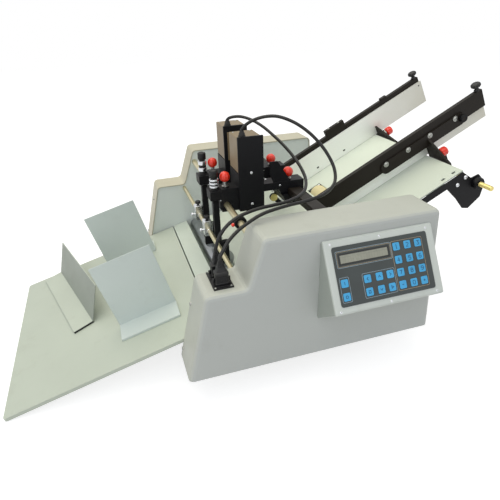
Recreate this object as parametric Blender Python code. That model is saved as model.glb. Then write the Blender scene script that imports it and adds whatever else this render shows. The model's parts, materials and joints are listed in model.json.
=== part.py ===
"""Desk machine that feeds single sheets down a sloping table, scores and perforates them, and stacks them.

X runs along the feed, from the tray to the feed table, Y runs across the machine, away from the keypad,
and Z is up. Pieces are built around a point on the floor midway between the side covers, then all moved
together so that the origin is under the middle of the machine's footprint. Metres throughout.
"""

import math
from types import SimpleNamespace as Values

import bmesh
import bpy
from mathutils import Vector

# Where the middle between the side covers stands from the origin
STAND = Values(x=0.0324, y=0.0279)

# Fits that many pieces share
GAP = 0.0003
OVERRUN = 0.004
OVERLAP = 0.001

# Side covers: painted steel shells, one step low where the sheets leave
COVER = Values(
    left=-0.2300,
    right=0.2355,
    bottom=0.060,
    half_width=0.3033,
    near_depth=0.0774,
    far_depth=0.0720,
    end_lean=0.0387,
    step_height=0.1591,
    step_end=0.1076,
    riser_end=0.1355,
    top_height=0.2424,
    feed_end_lean=0.0126,
    wall=0.0020,
    corner=0.0100,
    edge=0.0085,
)

# Side frames: steel plates that line the covers and carry every shaft and rod
FRAME = Values(
    thick=0.0050,
    recess=0.0020,
    leg_left=-0.185,
    leg_right=0.195,
    ledge_low=0.060,
    ledge_high=0.225,
    ledge_thick=0.0120,
    ledge_reach=0.0380,
)

PAN = Values(left=-0.180, right=0.190, wall=0.0030, flange=0.0380)
DECK = Values(clear=0.0025, length=0.0370, thick=0.0018, side_gap=0.0010)
FOOT = Values(
    radius=0.0180,
    waist_radius=0.0150,
    height=0.0300,
    lip=0.0040,
    left_inset=0.0300,
    right_inset=0.0400,
    near_inset=0.0629,
    far_inset=0.0683,
)

# Delivery tray and the guides that stand on it
TRAY = Values(
    end_clear=0.00735,
    length=0.3890,
    rise=0.10068,
    wall=0.0018,
    lip=0.0066,
    side_gap=0.0034,
    corner=0.0050,
    ear_length=0.0290,
    ear_depth=0.0160,
    pivot_inset=0.0140,
    pivot_depth=0.0090,
    pin_radius=0.0040,
    pin_reach=0.0046,
)
SIDE_GUIDE = Values(
    front_inset=0.1690,
    front_y=-0.1070,
    rear_inset=0.1770,
    rear_y=0.1400,
    length=0.1180,
    height=0.1420,
    thick=0.0015,
    foot=0.0500,
    magnet=0.0030,
)
END_STOP = Values(
    inset=0.2630,
    y=0.0865,
    length=0.2900,
    height=0.0720,
    lean=0.0390,
    thick=0.0015,
    foot=0.0430,
    magnet=0.0030,
)
END_STOP_TURN_DEG = 16.0

# Feed table, its side guides and the screw rod that carries them
TABLE_SLOPE_DEG = 27.0
TABLE = Values(
    rise_at_zero=0.1510,
    end=0.3840,
    low_clear=0.0040,
    near_clear=0.0229,
    far_clear=0.0283,
    thick=0.0025,
    end_lip=0.0100,
    hole_radius=0.0025,
    hole_length=0.0080,
    hole_inset=0.0100,
    hole_pitch=0.0240,
    tab_below=0.0155,
    tab_margin=0.0100,
    tab_reach=0.0300,
    tab_thick=0.0060,
)
GUIDE = Values(
    end_past=0.0030,
    near_face=-0.0930,
    far_face=0.1020,
    thick=0.0030,
    foot_clear=0.0008,
    height=0.0560,
)
BAR = Values(
    start=0.1300,
    length=0.4020,
    low=0.0300,
    high=0.0670,
    thick=0.0095,
    strap_after=0.1450,
    strap_length=0.2070,
    strap_low=0.0250,
    strap_high=0.0500,
    strap_thick=0.0035,
    block_after=0.1400,
    block_length=0.0520,
    block_rise=0.0130,
    stop_after=0.2970,
    stop_length=0.0160,
    stop_rise=0.0040,
    brace_past=0.0045,
    brace_thick=0.0040,
    brace_reach=0.0640,
    brace_foot=0.0300,
    brace_toe=0.0105,
    brace_tip=0.0040,
    brace_top=0.0440,
    brace_step=0.0200,
    sleeve_length=0.0180,
    sleeve_below=0.0145,
    sleeve_above=0.0285,
    sleeve_past=0.0140,
    side_knob_after=0.3418,
    side_knob_rise=0.0390,
    side_knob_radius=0.0075,
    side_knob_length=0.0090,
)
LOCK = Values(
    stem_radius=0.0040,
    stem_length=0.0060,
    radius=0.0098,
    length=0.0140,
    near_offset=0.0285,
    far_offset=0.0315,
    rise=0.0050,
)
WING = Values(
    end_inset=0.0080,
    stem_radius=0.0030,
    stem_length=0.0060,
    radius=0.0100,
    length=0.0110,
    chamfer=0.0020,
    lobes=6,
    lobe_share=0.06,
)
BRACKET = Values(
    thick=0.0030,
    bar_length=0.1010,
    bar_top=0.0030,
    bar_depth=0.0155,
    neck_before=0.0610,
    waist_before=0.0490,
    waist_below=0.0075,
    foot_before=0.0420,
    foot_below=0.0355,
    heel_before=0.0310,
    heel_below=0.0435,
    toe_below=0.0355,
    nose_past=0.0180,
    nose_below=0.0115,
    brow_past=0.0100,
    brow_above=0.0125,
    notch_before=0.0070,
    notch_above=0.0150,
    bar_end_before=0.0200,
    nut_radius=0.0105,
    nut_depth=0.0110,
    flange_before=0.0620,
    flange_length=0.0400,
    flange_reach=0.0150,
)
SCREW_ROD = Values(
    past_table=0.0180,
    depth=0.0405,
    radius=0.0040,
    thread_radius=0.0048,
    thread_length=0.0330,
)

# Feed wheel, gate, and the train that turns the rollers
FEED = Values(
    along=0.1750,
    depth=0.0135,
    shaft_radius=0.0060,
    wheel_radius=0.0200,
    wheel_length=0.0900,
    slot_clear=0.0020,
    slot_side=0.0120,
)
ANVIL = Values(x=-0.1000, z=0.1060, radius=0.0180, journal_radius=0.0060, end_clear=0.0060)
EXIT = Values(back=0.0480, z=0.0975, radius=0.0100, journal_radius=0.0050, end_clear=0.0060)
MOTOR = Values(
    x=0.1200,
    z=0.0860,
    radius=0.0280,
    length=0.0850,
    shaft_radius=0.0040,
    boss_radius=0.0120,
    boss_length=0.0080,
)
PULLEY = Values(
    gap=0.0030,
    width=0.0130,
    feed_radius=0.0340,
    anvil_radius=0.0220,
    exit_radius=0.0122,
    motor_radius=0.0100,
)
BELT = Values(width=0.0090, thick=0.0018)
GATE = Values(
    start_y=-0.0850,
    length=0.0780,
    drop=0.0170,
    side=0.0040,
    lip=0.0035,
    wedge=0.0145,
    corner=0.0040,
    neck=0.0060,
    feeler_out=0.0020,
    feeler_drop=0.0282,
    feeler_radius=0.0085,
    feeler_width=0.0060,
    lever_reach=0.0200,
    lever_half=0.0040,
    lever_width=0.0030,
)

# Rods that carry the heads and the rod clamps, placed from the anvil and from the covers' tops
EXIT_ROD = Values(back=0.0240, below_step=0.0096, radius=0.0045)
HEAD_ROD = Values(ahead=0.0080, below_top=0.0284, radius=0.0060)
RAIL = Values(left=0.0360, right=0.0625, rise=0.0020, thick=0.0140, edge=0.0020)

# Scoring and perforating heads, alike but for their place across the machine, measured from the head rod
HEAD = Values(
    front_y=-0.0850,
    rear_y=0.0150,
    start=0.0250,
    width=0.0500,
    below=0.0160,
    shoulder=0.0590,
    top=0.1290,
    plate=0.0040,
    depth=0.0620,
    arm_start=0.0060,
    arm_width=0.0340,
    arm_back=0.0095,
    arm_below=0.0140,
    arm_above=0.0320,
    lug_back=0.0310,
    lug_low=0.0110,
    lug_thick=0.0180,
    right_arm_thick=0.0147,
    jaw=0.0070,
    jaw_drop=0.0100,
    hook_top=0.0201,
    hook_low=0.0142,
    guard_foot=0.0301,
    guard_ahead=0.0060,
    guard_top_ahead=-0.0216,
    guard_back=0.0375,
    guard_step=0.0175,
    guard_height=0.0425,
    guard_thick=0.0045,
    screw_start=0.0220,
)
COIL_BOX = Values(inset=0.0008, drop=0.0025, gland_radius=0.0055, gland_height=0.0075, gland_inset=0.0090)
COIL_BOX_EDGE = 0.0012
RED_KNOB = Values(
    stem_radius=0.0040,
    left_stem=0.0100,
    right_stem=0.0040,
    ball_radius=0.0104,
    left_ahead=0.0025,
    rail_inset=0.0055,
)
DEPTH_SCREW = Values(
    back=0.0190,
    stud_radius=0.0030,
    stud_reach=0.0160,
    collar_radius=0.0088,
    collar_height=0.0210,
    neck_radius=0.0050,
    neck_height=0.0030,
    knob_radius=0.0085,
    knob_height=0.0150,
    rear_rise=0.0080,
    chamfer=0.0015,
)
HOLDER = Values(
    half_width=0.0060,
    above_rod=0.0060,
    shank_lap=0.0050,
    fork_back=0.0190,
    fork_ahead=0.0100,
    fork_below=0.0080,
    fork_above=0.0420,
    slot_clear=0.0030,
    side_clear=0.0006,
    bore_spare=0.0140,
)
BLADE = Values(lift=0.0030, radius=0.0210, thick=0.0030, rim=0.0012, hub_radius=0.0060, axle_radius=0.0030)
ROD_CLAMP = Values(
    rear_y=0.0450,
    front_y=-0.0420,
    back=0.0110,
    ahead=0.0062,
    below=0.0095,
    above=0.0235,
    width=0.0180,
    knob_back=0.0022,
    stem_radius=0.0025,
    stem_length=0.0030,
    knob_radius=0.0060,
    knob_length=0.0060,
    screw_rise=0.0025,
    screw_radius=0.0022,
    screw_length=0.0040,
    head_radius=0.0042,
    head_length=0.0040,
)

# Control box on the near cover, and what is let into the covers
BOX = Values(
    left=0.0000,
    right=0.2020,
    below_top=0.0194,
    brow_out=0.0045,
    brow_drop=0.0018,
    chin_out=0.0627,
    chin_drop=0.1035,
    base_drop=0.1527,
    wall=0.0022,
    edge=0.0035,
)
KEYPAD = Values(left=0.0130, right=0.0151, top=0.0098, bottom=0.0115, thick=0.0008)
SOCKETS = Values(half_length=0.0165, front_inset=0.0163, back_inset=0.0743, thick=0.0022)
PLUG = Values(
    along=0.0735,
    front_inset=0.0318,
    rear_inset=0.0593,
    half_length=0.0115,
    half_width=0.0085,
    height=0.0230,
    boot_radius=0.0062,
    boot_height=0.0180,
    chamfer=0.0020,
)
INLET = Values(
    rise=0.0300,
    height=0.0580,
    front_inset=0.0183,
    back_inset=0.0483,
    thick=0.0045,
    floor=0.0015,
    socket_height=0.0280,
    lip=0.0040,
)
ROCKER = Values(
    half_length=0.0090,
    half_thick=0.0008,
    crown=0.0025,
    pivot=0.0030,
    clear=0.0010,
    half_width=0.0060,
)

# Head leads: routes through points chosen by hand, from each gland to its plug
LEAD = Values(radius=0.0030, step=0.0140, straight=0.0060)
REAR_LEAD_ROUTE = [
    (-0.0550, 0.0250, 0.4140),
    (-0.0470, 0.0190, 0.4190),
    (-0.0310, 0.0080, 0.4205),
    (-0.0130, -0.0070, 0.4150),
    (0.0030, -0.0260, 0.4045),
    (0.0155, -0.0460, 0.3920),
    (0.0262, -0.0680, 0.3790),
    (0.0362, -0.0920, 0.3635),
    (0.0430, -0.1220, 0.3450),
    (0.0390, -0.1560, 0.3300),
    (0.0190, -0.1900, 0.3220),
    (-0.0150, -0.2140, 0.3210),
    (-0.0460, -0.2220, 0.3210),
    (-0.0700, -0.2250, 0.3205),
    (-0.0920, -0.2285, 0.3185),
    (-0.1150, -0.2320, 0.3130),
    (-0.1350, -0.2360, 0.3020),
    (-0.1490, -0.2400, 0.2860),
]
FRONT_LEAD_ROUTE = [
    (-0.0550, -0.0750, 0.4140),
    (-0.0485, -0.0785, 0.4230),
    (-0.0330, -0.0850, 0.4325),
    (-0.0130, -0.0920, 0.4375),
    (0.0070, -0.1000, 0.4370),
    (0.0285, -0.1110, 0.4290),
    (0.0475, -0.1220, 0.4165),
    (0.0650, -0.1340, 0.3995),
    (0.0810, -0.1490, 0.3760),
    (0.0895, -0.1660, 0.3500),
    (0.0810, -0.1860, 0.3300),
    (0.0520, -0.2060, 0.3200),
    (0.0080, -0.2220, 0.3190),
    (-0.0230, -0.2290, 0.3195),
    (-0.0520, -0.2350, 0.3185),
    (-0.0760, -0.2400, 0.3155),
    (-0.0980, -0.2460, 0.3090),
    (-0.1200, -0.2530, 0.3000),
    (-0.1380, -0.2610, 0.2890),
    (-0.1500, -0.2680, 0.2770),
]

ROUND_SIDES = 24
ROLLER_SIDES = 32
SMALL_SIDES = 16
BALL_STEPS = 8
LEAD_SIDES = 2
CORNER_STEPS = 3
EDGE_SEGMENTS = 3
SHARP_DEG = 35.0
BEVEL_ABOVE_DEG = 50.0

COLOURS = {
    "cover_grey": ((0.68, 0.71, 0.70), 0.0, 0.45),
    "frame_grey": ((0.60, 0.64, 0.61), 0.0, 0.50),
    "tray_grey": ((0.72, 0.76, 0.71), 0.0, 0.50),
    "plate_grey": ((0.69, 0.71, 0.74), 0.0, 0.45),
    "table_white": ((0.86, 0.90, 0.84), 0.0, 0.40),
    "guide_aluminium": ((0.78, 0.78, 0.77), 0.9, 0.35),
    "zinc": ((0.78, 0.74, 0.62), 0.9, 0.35),
    "steel": ((0.62, 0.63, 0.65), 1.0, 0.30),
    "silver": ((0.80, 0.80, 0.82), 1.0, 0.25),
    "brass": ((0.80, 0.66, 0.36), 1.0, 0.30),
    "black_steel": ((0.03, 0.03, 0.035), 0.2, 0.45),
    "brown_black": ((0.09, 0.075, 0.06), 0.2, 0.50),
    "coil_tan": ((0.48, 0.40, 0.30), 0.3, 0.45),
    "black_rubber": ((0.02, 0.02, 0.02), 0.0, 0.80),
    "black_plastic": ((0.04, 0.04, 0.045), 0.0, 0.40),
    "red_plastic": ((0.75, 0.06, 0.04), 0.0, 0.35),
    "feed_rubber": ((0.86, 0.80, 0.62), 0.0, 0.70),
    "keypad_grey": ((0.12, 0.13, 0.13), 0.0, 0.40),
}


# Places on the two slopes, and lines worked out from the driving sizes


def step_top():
    """Top face of the covers' low step."""
    return COVER.bottom + COVER.step_height


def cover_top():
    """Top face of the covers."""
    return COVER.bottom + COVER.top_height


def exit_roller_x():
    """World X of the exit roller."""
    return ANVIL.x - EXIT.back


def tray_slope():
    """Slope of the delivery tray, whose outer end rests on the floor."""
    return math.asin(TRAY.rise / TRAY.length)


def on_tray(along, height):
    """World X and Z of a point along the tray from its outer end, and above its top face."""
    slope = tray_slope()
    inner_x = exit_roller_x() - EXIT.radius - TRAY.end_clear
    x = inner_x - (TRAY.length - along) * math.cos(slope) - height * math.sin(slope)
    z = TRAY.lip * math.cos(slope) + along * math.sin(slope) + height * math.cos(slope)
    return x, z


def tray_pivot():
    """World X and Z of the tray's pins."""
    return on_tray(TRAY.length - TRAY.pivot_inset, -TRAY.pivot_depth)


def on_table(along, height):
    """World X and Z of a point along the feed table from X = 0, and above its top face."""
    slope = math.radians(TABLE_SLOPE_DEG)
    x = along * math.cos(slope) - height * math.sin(slope)
    z = TABLE.rise_at_zero + along * math.sin(slope) + height * math.cos(slope)
    return x, z


def upright(x, z):
    """World X and Z of a point of a piece that isn't on a slope."""
    return x, z


def near_face():
    """Inner face of the near side frame."""
    return COVER.near_depth - COVER.half_width - FRAME.recess


def far_face():
    """Inner face of the far side frame."""
    return COVER.half_width - COVER.far_depth + FRAME.recess


def cover_face():
    """Outer face of the near side cover."""
    return -COVER.half_width


def near_frame_back():
    """Outer face of the near side frame."""
    return near_face() - FRAME.thick


def pan_floor():
    """Top of the base pan's floor."""
    return FOOT.height + GAP + PAN.wall


def table_near():
    """Near edge of the feed table."""
    return near_face() + TABLE.near_clear


def table_far():
    """Far edge of the feed table."""
    return far_face() - TABLE.far_clear


def brace_along():
    """Place of the guides' braces along the feed table's slope, just past the table's end."""
    return TABLE.end + BAR.brace_past


def screw_rod_along():
    """Place of the screw rod along the feed table's slope."""
    return TABLE.end + SCREW_ROD.past_table


def feed_shaft_at():
    """World X and Z of the feed shaft."""
    return on_table(FEED.along, -FEED.depth)


def screw_rod_at():
    """World X and Z of the screw rod."""
    return on_table(screw_rod_along(), -SCREW_ROD.depth)


def exit_rod_at():
    """World X and Z of the exit rod."""
    return ANVIL.x - EXIT_ROD.back, step_top() - EXIT_ROD.below_step


def head_rod_at():
    """World X and Z of the head rod."""
    return ANVIL.x + HEAD_ROD.ahead, cover_top() - HEAD_ROD.below_top


def rail_low():
    """Underside of the head rail."""
    return head_rod_at()[1] + RAIL.rise


def rail_high():
    """Top of the head rail."""
    return rail_low() + RAIL.thick


def depth_screw_x():
    """World X of the depth screws."""
    return head_rod_at()[0] - DEPTH_SCREW.back


def lug_high():
    """Top of the lug that a depth screw turns in."""
    return head_rod_at()[1] + HEAD.lug_low + HEAD.lug_thick


def holder_top():
    """Top of a blade holder's shank."""
    return head_rod_at()[1] + HOLDER.above_rod


def blade_z():
    """World Z of the blades' axle: they stand just clear of the anvil roller."""
    return ANVIL.z + ANVIL.radius + BLADE.lift + BLADE.radius


def head_top():
    """Top of a head's front plate."""
    return head_rod_at()[1] + HEAD.top


def cover_profile():
    """The covers' outline, anticlockwise seen from the near side, from the bottom of the tray end."""
    return [
        (COVER.right, COVER.bottom),
        (COVER.right - COVER.feed_end_lean, cover_top()),
        (COVER.left + COVER.riser_end, cover_top()),
        (COVER.left + COVER.step_end, step_top()),
        (COVER.left + COVER.end_lean, step_top()),
        (COVER.left, COVER.bottom),
    ]


def rectangle(left, right, low, high):
    """Corners of an upright rectangle, anticlockwise."""
    return [(left, low), (right, low), (right, high), (left, high)]


def rounded(corners, radius, sharp=()):
    """An outline with its corners turned into arcs, apart from those numbered in sharp."""
    outline = []
    for i, corner in enumerate(corners):
        if i in sharp:
            outline.append(corner)
            continue
        point = Vector(corner)
        back = (Vector(corners[i - 1]) - point).normalized()
        ahead = (Vector(corners[(i + 1) % len(corners)]) - point).normalized()
        half = back.angle(ahead) / 2
        reach = radius / math.tan(half)
        centre = point + (back + ahead).normalized() * (radius / math.sin(half))
        first = point + back * reach - centre
        sweep = first.angle_signed(point + ahead * reach - centre)
        for step in range(CORNER_STEPS + 1):
            turn = -sweep * step / CORNER_STEPS
            x = first.x * math.cos(turn) - first.y * math.sin(turn)
            y = first.x * math.sin(turn) + first.y * math.cos(turn)
            outline.append((centre.x + x, centre.y + y))
    return outline


def inset(corners, distance):
    """An anticlockwise outline moved inwards by the same distance on every side."""
    moved = []
    count = len(corners)
    for i in range(count):
        before, here, after = Vector(corners[i - 1]), Vector(corners[i]), Vector(corners[(i + 1) % count])
        into = (here - before).normalized()
        out = (after - here).normalized()
        normal_in = Vector((-into.y, into.x))
        normal_out = Vector((-out.y, out.x))
        middle = (normal_in + normal_out).normalized()
        moved.append(tuple(here + middle * (distance / middle.dot(normal_in))))
    return moved


def hull(points):
    """Convex outline around points, anticlockwise."""
    ordered = sorted(set(points))
    chains = []
    for run in (ordered, ordered[::-1]):
        chain = []
        for point in run:
            while len(chain) > 1:
                a, b = Vector(chain[-1]) - Vector(chain[-2]), Vector(point) - Vector(chain[-2])
                if a.x * b.y - a.y * b.x > 0:
                    break
                chain.pop()
            chain.append(point)
        chains += chain[:-1]
    return chains


# Ways of making solids


def material(name):
    """The material of that name, made the first time it is asked for."""
    found = bpy.data.materials.get(name)
    if found:
        return found
    colour, metallic, roughness = COLOURS[name]
    made = bpy.data.materials.new(name)
    made.use_nodes = True
    shader = made.node_tree.nodes["Principled BSDF"]
    shader.inputs["Base Color"].default_value = (*colour, 1.0)
    shader.inputs["Metallic"].default_value = metallic
    shader.inputs["Roughness"].default_value = roughness
    made.diffuse_color = (*colour, 1.0)
    return made


def add_object(name, mesh, colour):
    """Puts a mesh into the scene as a named object with one material."""
    piece = bpy.data.objects.new(name, mesh)
    bpy.context.scene.collection.objects.link(piece)
    mesh.materials.clear()
    mesh.materials.append(material(colour))
    mesh.shade_smooth()
    mesh.set_sharp_from_angle(angle=math.radians(SHARP_DEG))
    return piece


def finish_mesh(name, shape, colour):
    """Turns a closed bmesh into an object, faces pointing out."""
    bmesh.ops.recalc_face_normals(shape, faces=shape.faces)
    mesh = bpy.data.meshes.new(name)
    shape.to_mesh(mesh)
    shape.free()
    return add_object(name, mesh, colour)


def swept(name, outline, low, high, colour, to_world):
    """A solid with the same outline all along a straight sweep."""
    shape = bmesh.new()
    near = [shape.verts.new(to_world(a, b, low)) for a, b in outline]
    far = [shape.verts.new(to_world(a, b, high)) for a, b in outline]
    shape.faces.new(near)
    shape.faces.new(far)
    for i in range(len(outline)):
        j = (i + 1) % len(outline)
        shape.faces.new((near[i], near[j], far[j], far[i]))
    return finish_mesh(name, shape, colour)


def across(name, outline, low_y, high_y, colour, place=upright):
    """A solid swept across the machine, its outline given along and above place's slope."""

    def to_world(a, b, y):
        x, z = place(a, b)
        return x, y, z

    return swept(name, outline, low_y, high_y, colour, to_world)


def along_slope(name, outline, start, end, colour, place):
    """A solid swept along a slope, its outline given across the machine and above the slope."""

    def to_world(y, height, along):
        x, z = place(along, height)
        return x, y, z

    return swept(name, outline, start, end, colour, to_world)


def stood_on(name, outline, low, high, colour, place):
    """A solid swept away from a slope's face, its outline given along the slope and across the machine."""

    def to_world(along, y, height):
        x, z = place(along, height)
        return x, y, z

    return swept(name, outline, low, high, colour, to_world)


def turned(name, profile, base, direction, colour, sides=ROUND_SIDES, lobes=0, lobe_share=0):
    """A turned solid: profile holds pairs of height and radius along direction, from the base up."""
    axis = Vector(direction).normalized()
    across_axis = axis.orthogonal().normalized()
    third = axis.cross(across_axis)
    origin = Vector(base)
    shape = bmesh.new()
    rings = []
    for height, radius in profile:
        centre = origin + axis * height
        if not radius:
            rings.append([shape.verts.new(centre)])
            continue
        ring = []
        for i in range(sides):
            turn = 2 * math.pi * i / sides
            swell = 1 + lobe_share * math.cos(lobes * turn)
            way = across_axis * math.cos(turn) + third * math.sin(turn)
            ring.append(shape.verts.new(centre + way * (radius * swell)))
        rings.append(ring)
    for lower, upper in zip(rings, rings[1:]):
        if len(lower) == 1 and len(upper) == 1:
            continue
        for i in range(sides):
            j = (i + 1) % sides
            below = [lower[i % len(lower)], lower[j % len(lower)]]
            above = [upper[j % len(upper)], upper[i % len(upper)]]
            shape.faces.new(dict.fromkeys(below + above))
    for ring in (rings[0], rings[-1]):
        if len(ring) > 1:
            shape.faces.new(ring)
    return finish_mesh(name, shape, colour)


def bar_between(name, start, end, radius, colour, sides=ROUND_SIDES):
    """A round bar from one point to another."""
    way = Vector(end) - Vector(start)
    return turned(name, [(0, radius), (way.length, radius)], start, way, colour, sides)


def boolean(body, tool, operation):
    """Joins or cuts body with tool and removes the tool."""
    step = body.modifiers.new(operation.lower(), "BOOLEAN")
    step.operation = operation
    step.solver = "EXACT"
    step.object = tool
    bpy.context.view_layer.update()
    seen = body.evaluated_get(bpy.context.evaluated_depsgraph_get())
    mesh = bpy.data.meshes.new_from_object(seen)
    body.modifiers.clear()
    body.data = mesh
    bpy.data.objects.remove(tool)
    colour = body.data.materials[0]
    mesh.materials.clear()
    mesh.materials.append(colour)
    mesh.shade_smooth()
    mesh.set_sharp_from_angle(angle=math.radians(SHARP_DEG))
    return body


def join(body, *tools):
    """Makes one solid of body and the tools that overlap it."""
    for tool in tools:
        boolean(body, tool, "UNION")
    return body


def cut(body, *tools):
    """Takes the tools out of body."""
    for tool in tools:
        boolean(body, tool, "DIFFERENCE")
    return body


def soften(piece, width, segments=EDGE_SEGMENTS):
    """Rounds the sharp edges of a piece."""
    step = piece.modifiers.new("soft_edges", "BEVEL")
    step.width = width
    step.segments = segments
    step.limit_method = "ANGLE"
    step.angle_limit = math.radians(BEVEL_ABOVE_DEG)
    step.use_clamp_overlap = True
    return piece


def turn_about(piece, point):
    """Moves a piece's origin to its joint's axis and leaves its shape where it is."""
    shift = Vector(point)
    for vertex in piece.data.vertices:
        vertex.co -= shift
    piece.location = shift
    return piece


def open_shell(name, corners, face_y, open_y, wall, edge, colour):
    """A sheet cover: an outline's face and its sides but the last, with nothing at open_y."""
    shape = bmesh.new()
    face = [shape.verts.new((x, face_y, z)) for x, z in corners]
    rim = [shape.verts.new((x, open_y, z)) for x, z in corners]
    shape.faces.new(face)
    sides = zip(face, face[1:], rim[1:], rim)
    for side in sides:
        shape.faces.new(side)
    bmesh.ops.recalc_face_normals(shape, faces=shape.faces)
    shape.faces.ensure_lookup_table()
    outward = -1 if face_y < open_y else 1
    if shape.faces[0].normal.y * outward < 0:
        bmesh.ops.reverse_faces(shape, faces=shape.faces)
    mesh = bpy.data.meshes.new(name)
    shape.to_mesh(mesh)
    shape.free()
    piece = add_object(name, mesh, colour)
    soften(piece, edge)
    step = piece.modifiers.new("sheet", "SOLIDIFY")
    step.thickness = wall
    step.offset = -1
    step.use_even_offset = True
    step.use_rim = True
    return piece


# Chassis: covers, side frames, base pan and feet


def side_cover(name, face_y, depth_to_inside):
    """One painted side cover."""
    corners = rounded(cover_profile(), COVER.corner, sharp=(0, 5))
    return open_shell(name, corners, face_y, depth_to_inside, COVER.wall, COVER.edge, "cover_grey")


def frame_outline():
    """A side frame's outline: the cover's, moved in, with a leg down to the base pan."""
    inner = inset(cover_profile(), COVER.wall + GAP)
    arcs = rounded(inner, COVER.corner - COVER.wall, sharp=(0, 5))
    return [
        (FRAME.leg_right, pan_floor() + GAP),
        (FRAME.leg_right, arcs[0][1]),
        *arcs,
        (FRAME.leg_left, arcs[-1][1]),
        (FRAME.leg_left, pan_floor() + GAP),
    ]


def bore_through(x, z, radius, low_y, high_y):
    """A cutter for a shaft's hole across a plate."""
    return bar_between("bore", (x, low_y - OVERRUN, z), (x, high_y + OVERRUN, z), radius, "steel")


def side_frame(name, low_y, high_y, inner_y, inward):
    """A side frame with its shaft holes, the tray's pivot hole and the ledge under the feed table."""
    plate = across(name, frame_outline(), low_y, high_y, "frame_grey")
    ledge_top = -TABLE.thick - GAP
    ledge = across(
        "ledge",
        rectangle(FRAME.ledge_low, FRAME.ledge_high, ledge_top - FRAME.ledge_thick, ledge_top),
        inner_y - inward * OVERLAP,
        inner_y + inward * FRAME.ledge_reach,
        "frame_grey",
        on_table,
    )
    join(plate, ledge)
    holes = [
        (*feed_shaft_at(), FEED.shaft_radius),
        (ANVIL.x, ANVIL.z, ANVIL.journal_radius),
        (exit_roller_x(), EXIT.z, EXIT.journal_radius),
        (*tray_pivot(), TRAY.pin_radius),
    ]
    if inward > 0:
        holes.append((MOTOR.x, MOTOR.z, MOTOR.shaft_radius))
    reach_low = min(low_y, inner_y + inward * FRAME.ledge_reach)
    reach_high = max(high_y, inner_y + inward * FRAME.ledge_reach)
    for x, z, radius in holes:
        cut(plate, bore_through(x, z, radius + GAP, reach_low, reach_high))
    return plate


def exit_deck(foot_z):
    """Bent sheet that rises from the pan and carries sheets over the exit roller, down to the tray."""
    start = TRAY.length + DECK.clear
    end = start + DECK.length
    right, crest = on_tray(end, 0)
    inner_x, inner_z = on_tray(end - DECK.thick, -DECK.thick)
    outline = [
        (inner_x, foot_z - OVERLAP),
        (right, foot_z - OVERLAP),
        (right, crest),
        on_tray(start, 0),
        on_tray(start, -DECK.thick),
        (inner_x, inner_z),
    ]
    near_y, far_y = near_face() + DECK.side_gap, far_face() - DECK.side_gap
    return across("exit_deck", outline, near_y, far_y, "frame_grey")


def base_pan():
    """Channel that joins the two side frames, with the exit deck on it."""
    near_y = near_frame_back() - GAP
    far_y = far_face() + FRAME.thick + GAP
    low = FOOT.height + GAP
    outline = [
        (near_y - PAN.wall, low),
        (far_y + PAN.wall, low),
        (far_y + PAN.wall, low + PAN.flange),
        (far_y, low + PAN.flange),
        (far_y, low + PAN.wall),
        (near_y, low + PAN.wall),
        (near_y, low + PAN.flange),
        (near_y - PAN.wall, low + PAN.flange),
    ]
    pan = swept("base_pan", outline, PAN.left, PAN.right, "frame_grey", lambda y, z, x: (x, y, z))
    return join(pan, exit_deck(low + PAN.wall))


def rubber_foot(name, x, y):
    """One rubber foot under the pan."""
    profile = [
        (0, FOOT.waist_radius),
        (FOOT.lip, FOOT.radius),
        (FOOT.height - FOOT.lip, FOOT.radius),
        (FOOT.height, FOOT.waist_radius),
    ]
    return turned(name, profile, (x, y, 0), (0, 0, 1), "black_rubber")


def chassis():
    """Covers, frames, pan and feet."""
    side_cover("near_cover", cover_face(), cover_face() + COVER.near_depth)
    side_cover("far_cover", COVER.half_width, COVER.half_width - COVER.far_depth)
    side_frame("near_frame", near_frame_back(), near_face(), near_face(), 1)
    side_frame("far_frame", far_face(), far_face() + FRAME.thick, far_face(), -1)
    base_pan()
    ends = (("tray_end", PAN.left + FOOT.left_inset), ("feed_end", PAN.right - FOOT.right_inset))
    sides = (("near", near_face() + FOOT.near_inset), ("far", far_face() - FOOT.far_inset))
    for end, x in ends:
        for side, y in sides:
            rubber_foot(f"foot_{side}_{end}", x, y)


# Delivery: tray, its two magnetic side guides and the end stop


def delivery_tray():
    """Sheet tray, lipped on three sides, hung by two pins in the side frames."""
    near_y = near_face() + TRAY.side_gap
    far_y = far_face() - TRAY.side_gap
    corners = [(0, near_y), (TRAY.length, near_y), (TRAY.length, far_y), (0, far_y)]
    outline = rounded(corners, TRAY.corner, sharp=(1, 2))
    tray = stood_on("delivery_tray", outline, -TRAY.lip, 0, "tray_grey", on_tray)
    hollow = inset(outline, TRAY.wall)
    hollow = [(u + OVERRUN if u > TRAY.length / 2 else u, y) for u, y in hollow]
    cut(tray, stood_on("hollow", hollow, -TRAY.lip - OVERRUN, -TRAY.wall, "tray_grey", on_tray))
    ear_end = TRAY.length - OVERLAP
    ear = rectangle(ear_end - TRAY.ear_length, ear_end, -TRAY.ear_depth, -TRAY.wall / 2)
    x, z = tray_pivot()
    for y, outward in ((near_y, -1), (far_y, 1)):
        inner = y - outward * TRAY.wall
        join(tray, across("ear", ear, min(y, inner), max(y, inner), "tray_grey", on_tray))
        start = (x, y - outward * TRAY.wall / 2, z)
        end = (x, y + outward * (TRAY.side_gap + TRAY.pin_reach), z)
        join(tray, bar_between("pin", start, end, TRAY.pin_radius, "tray_grey", SMALL_SIDES))
    return turn_about(tray, (x, 0, z))


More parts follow.
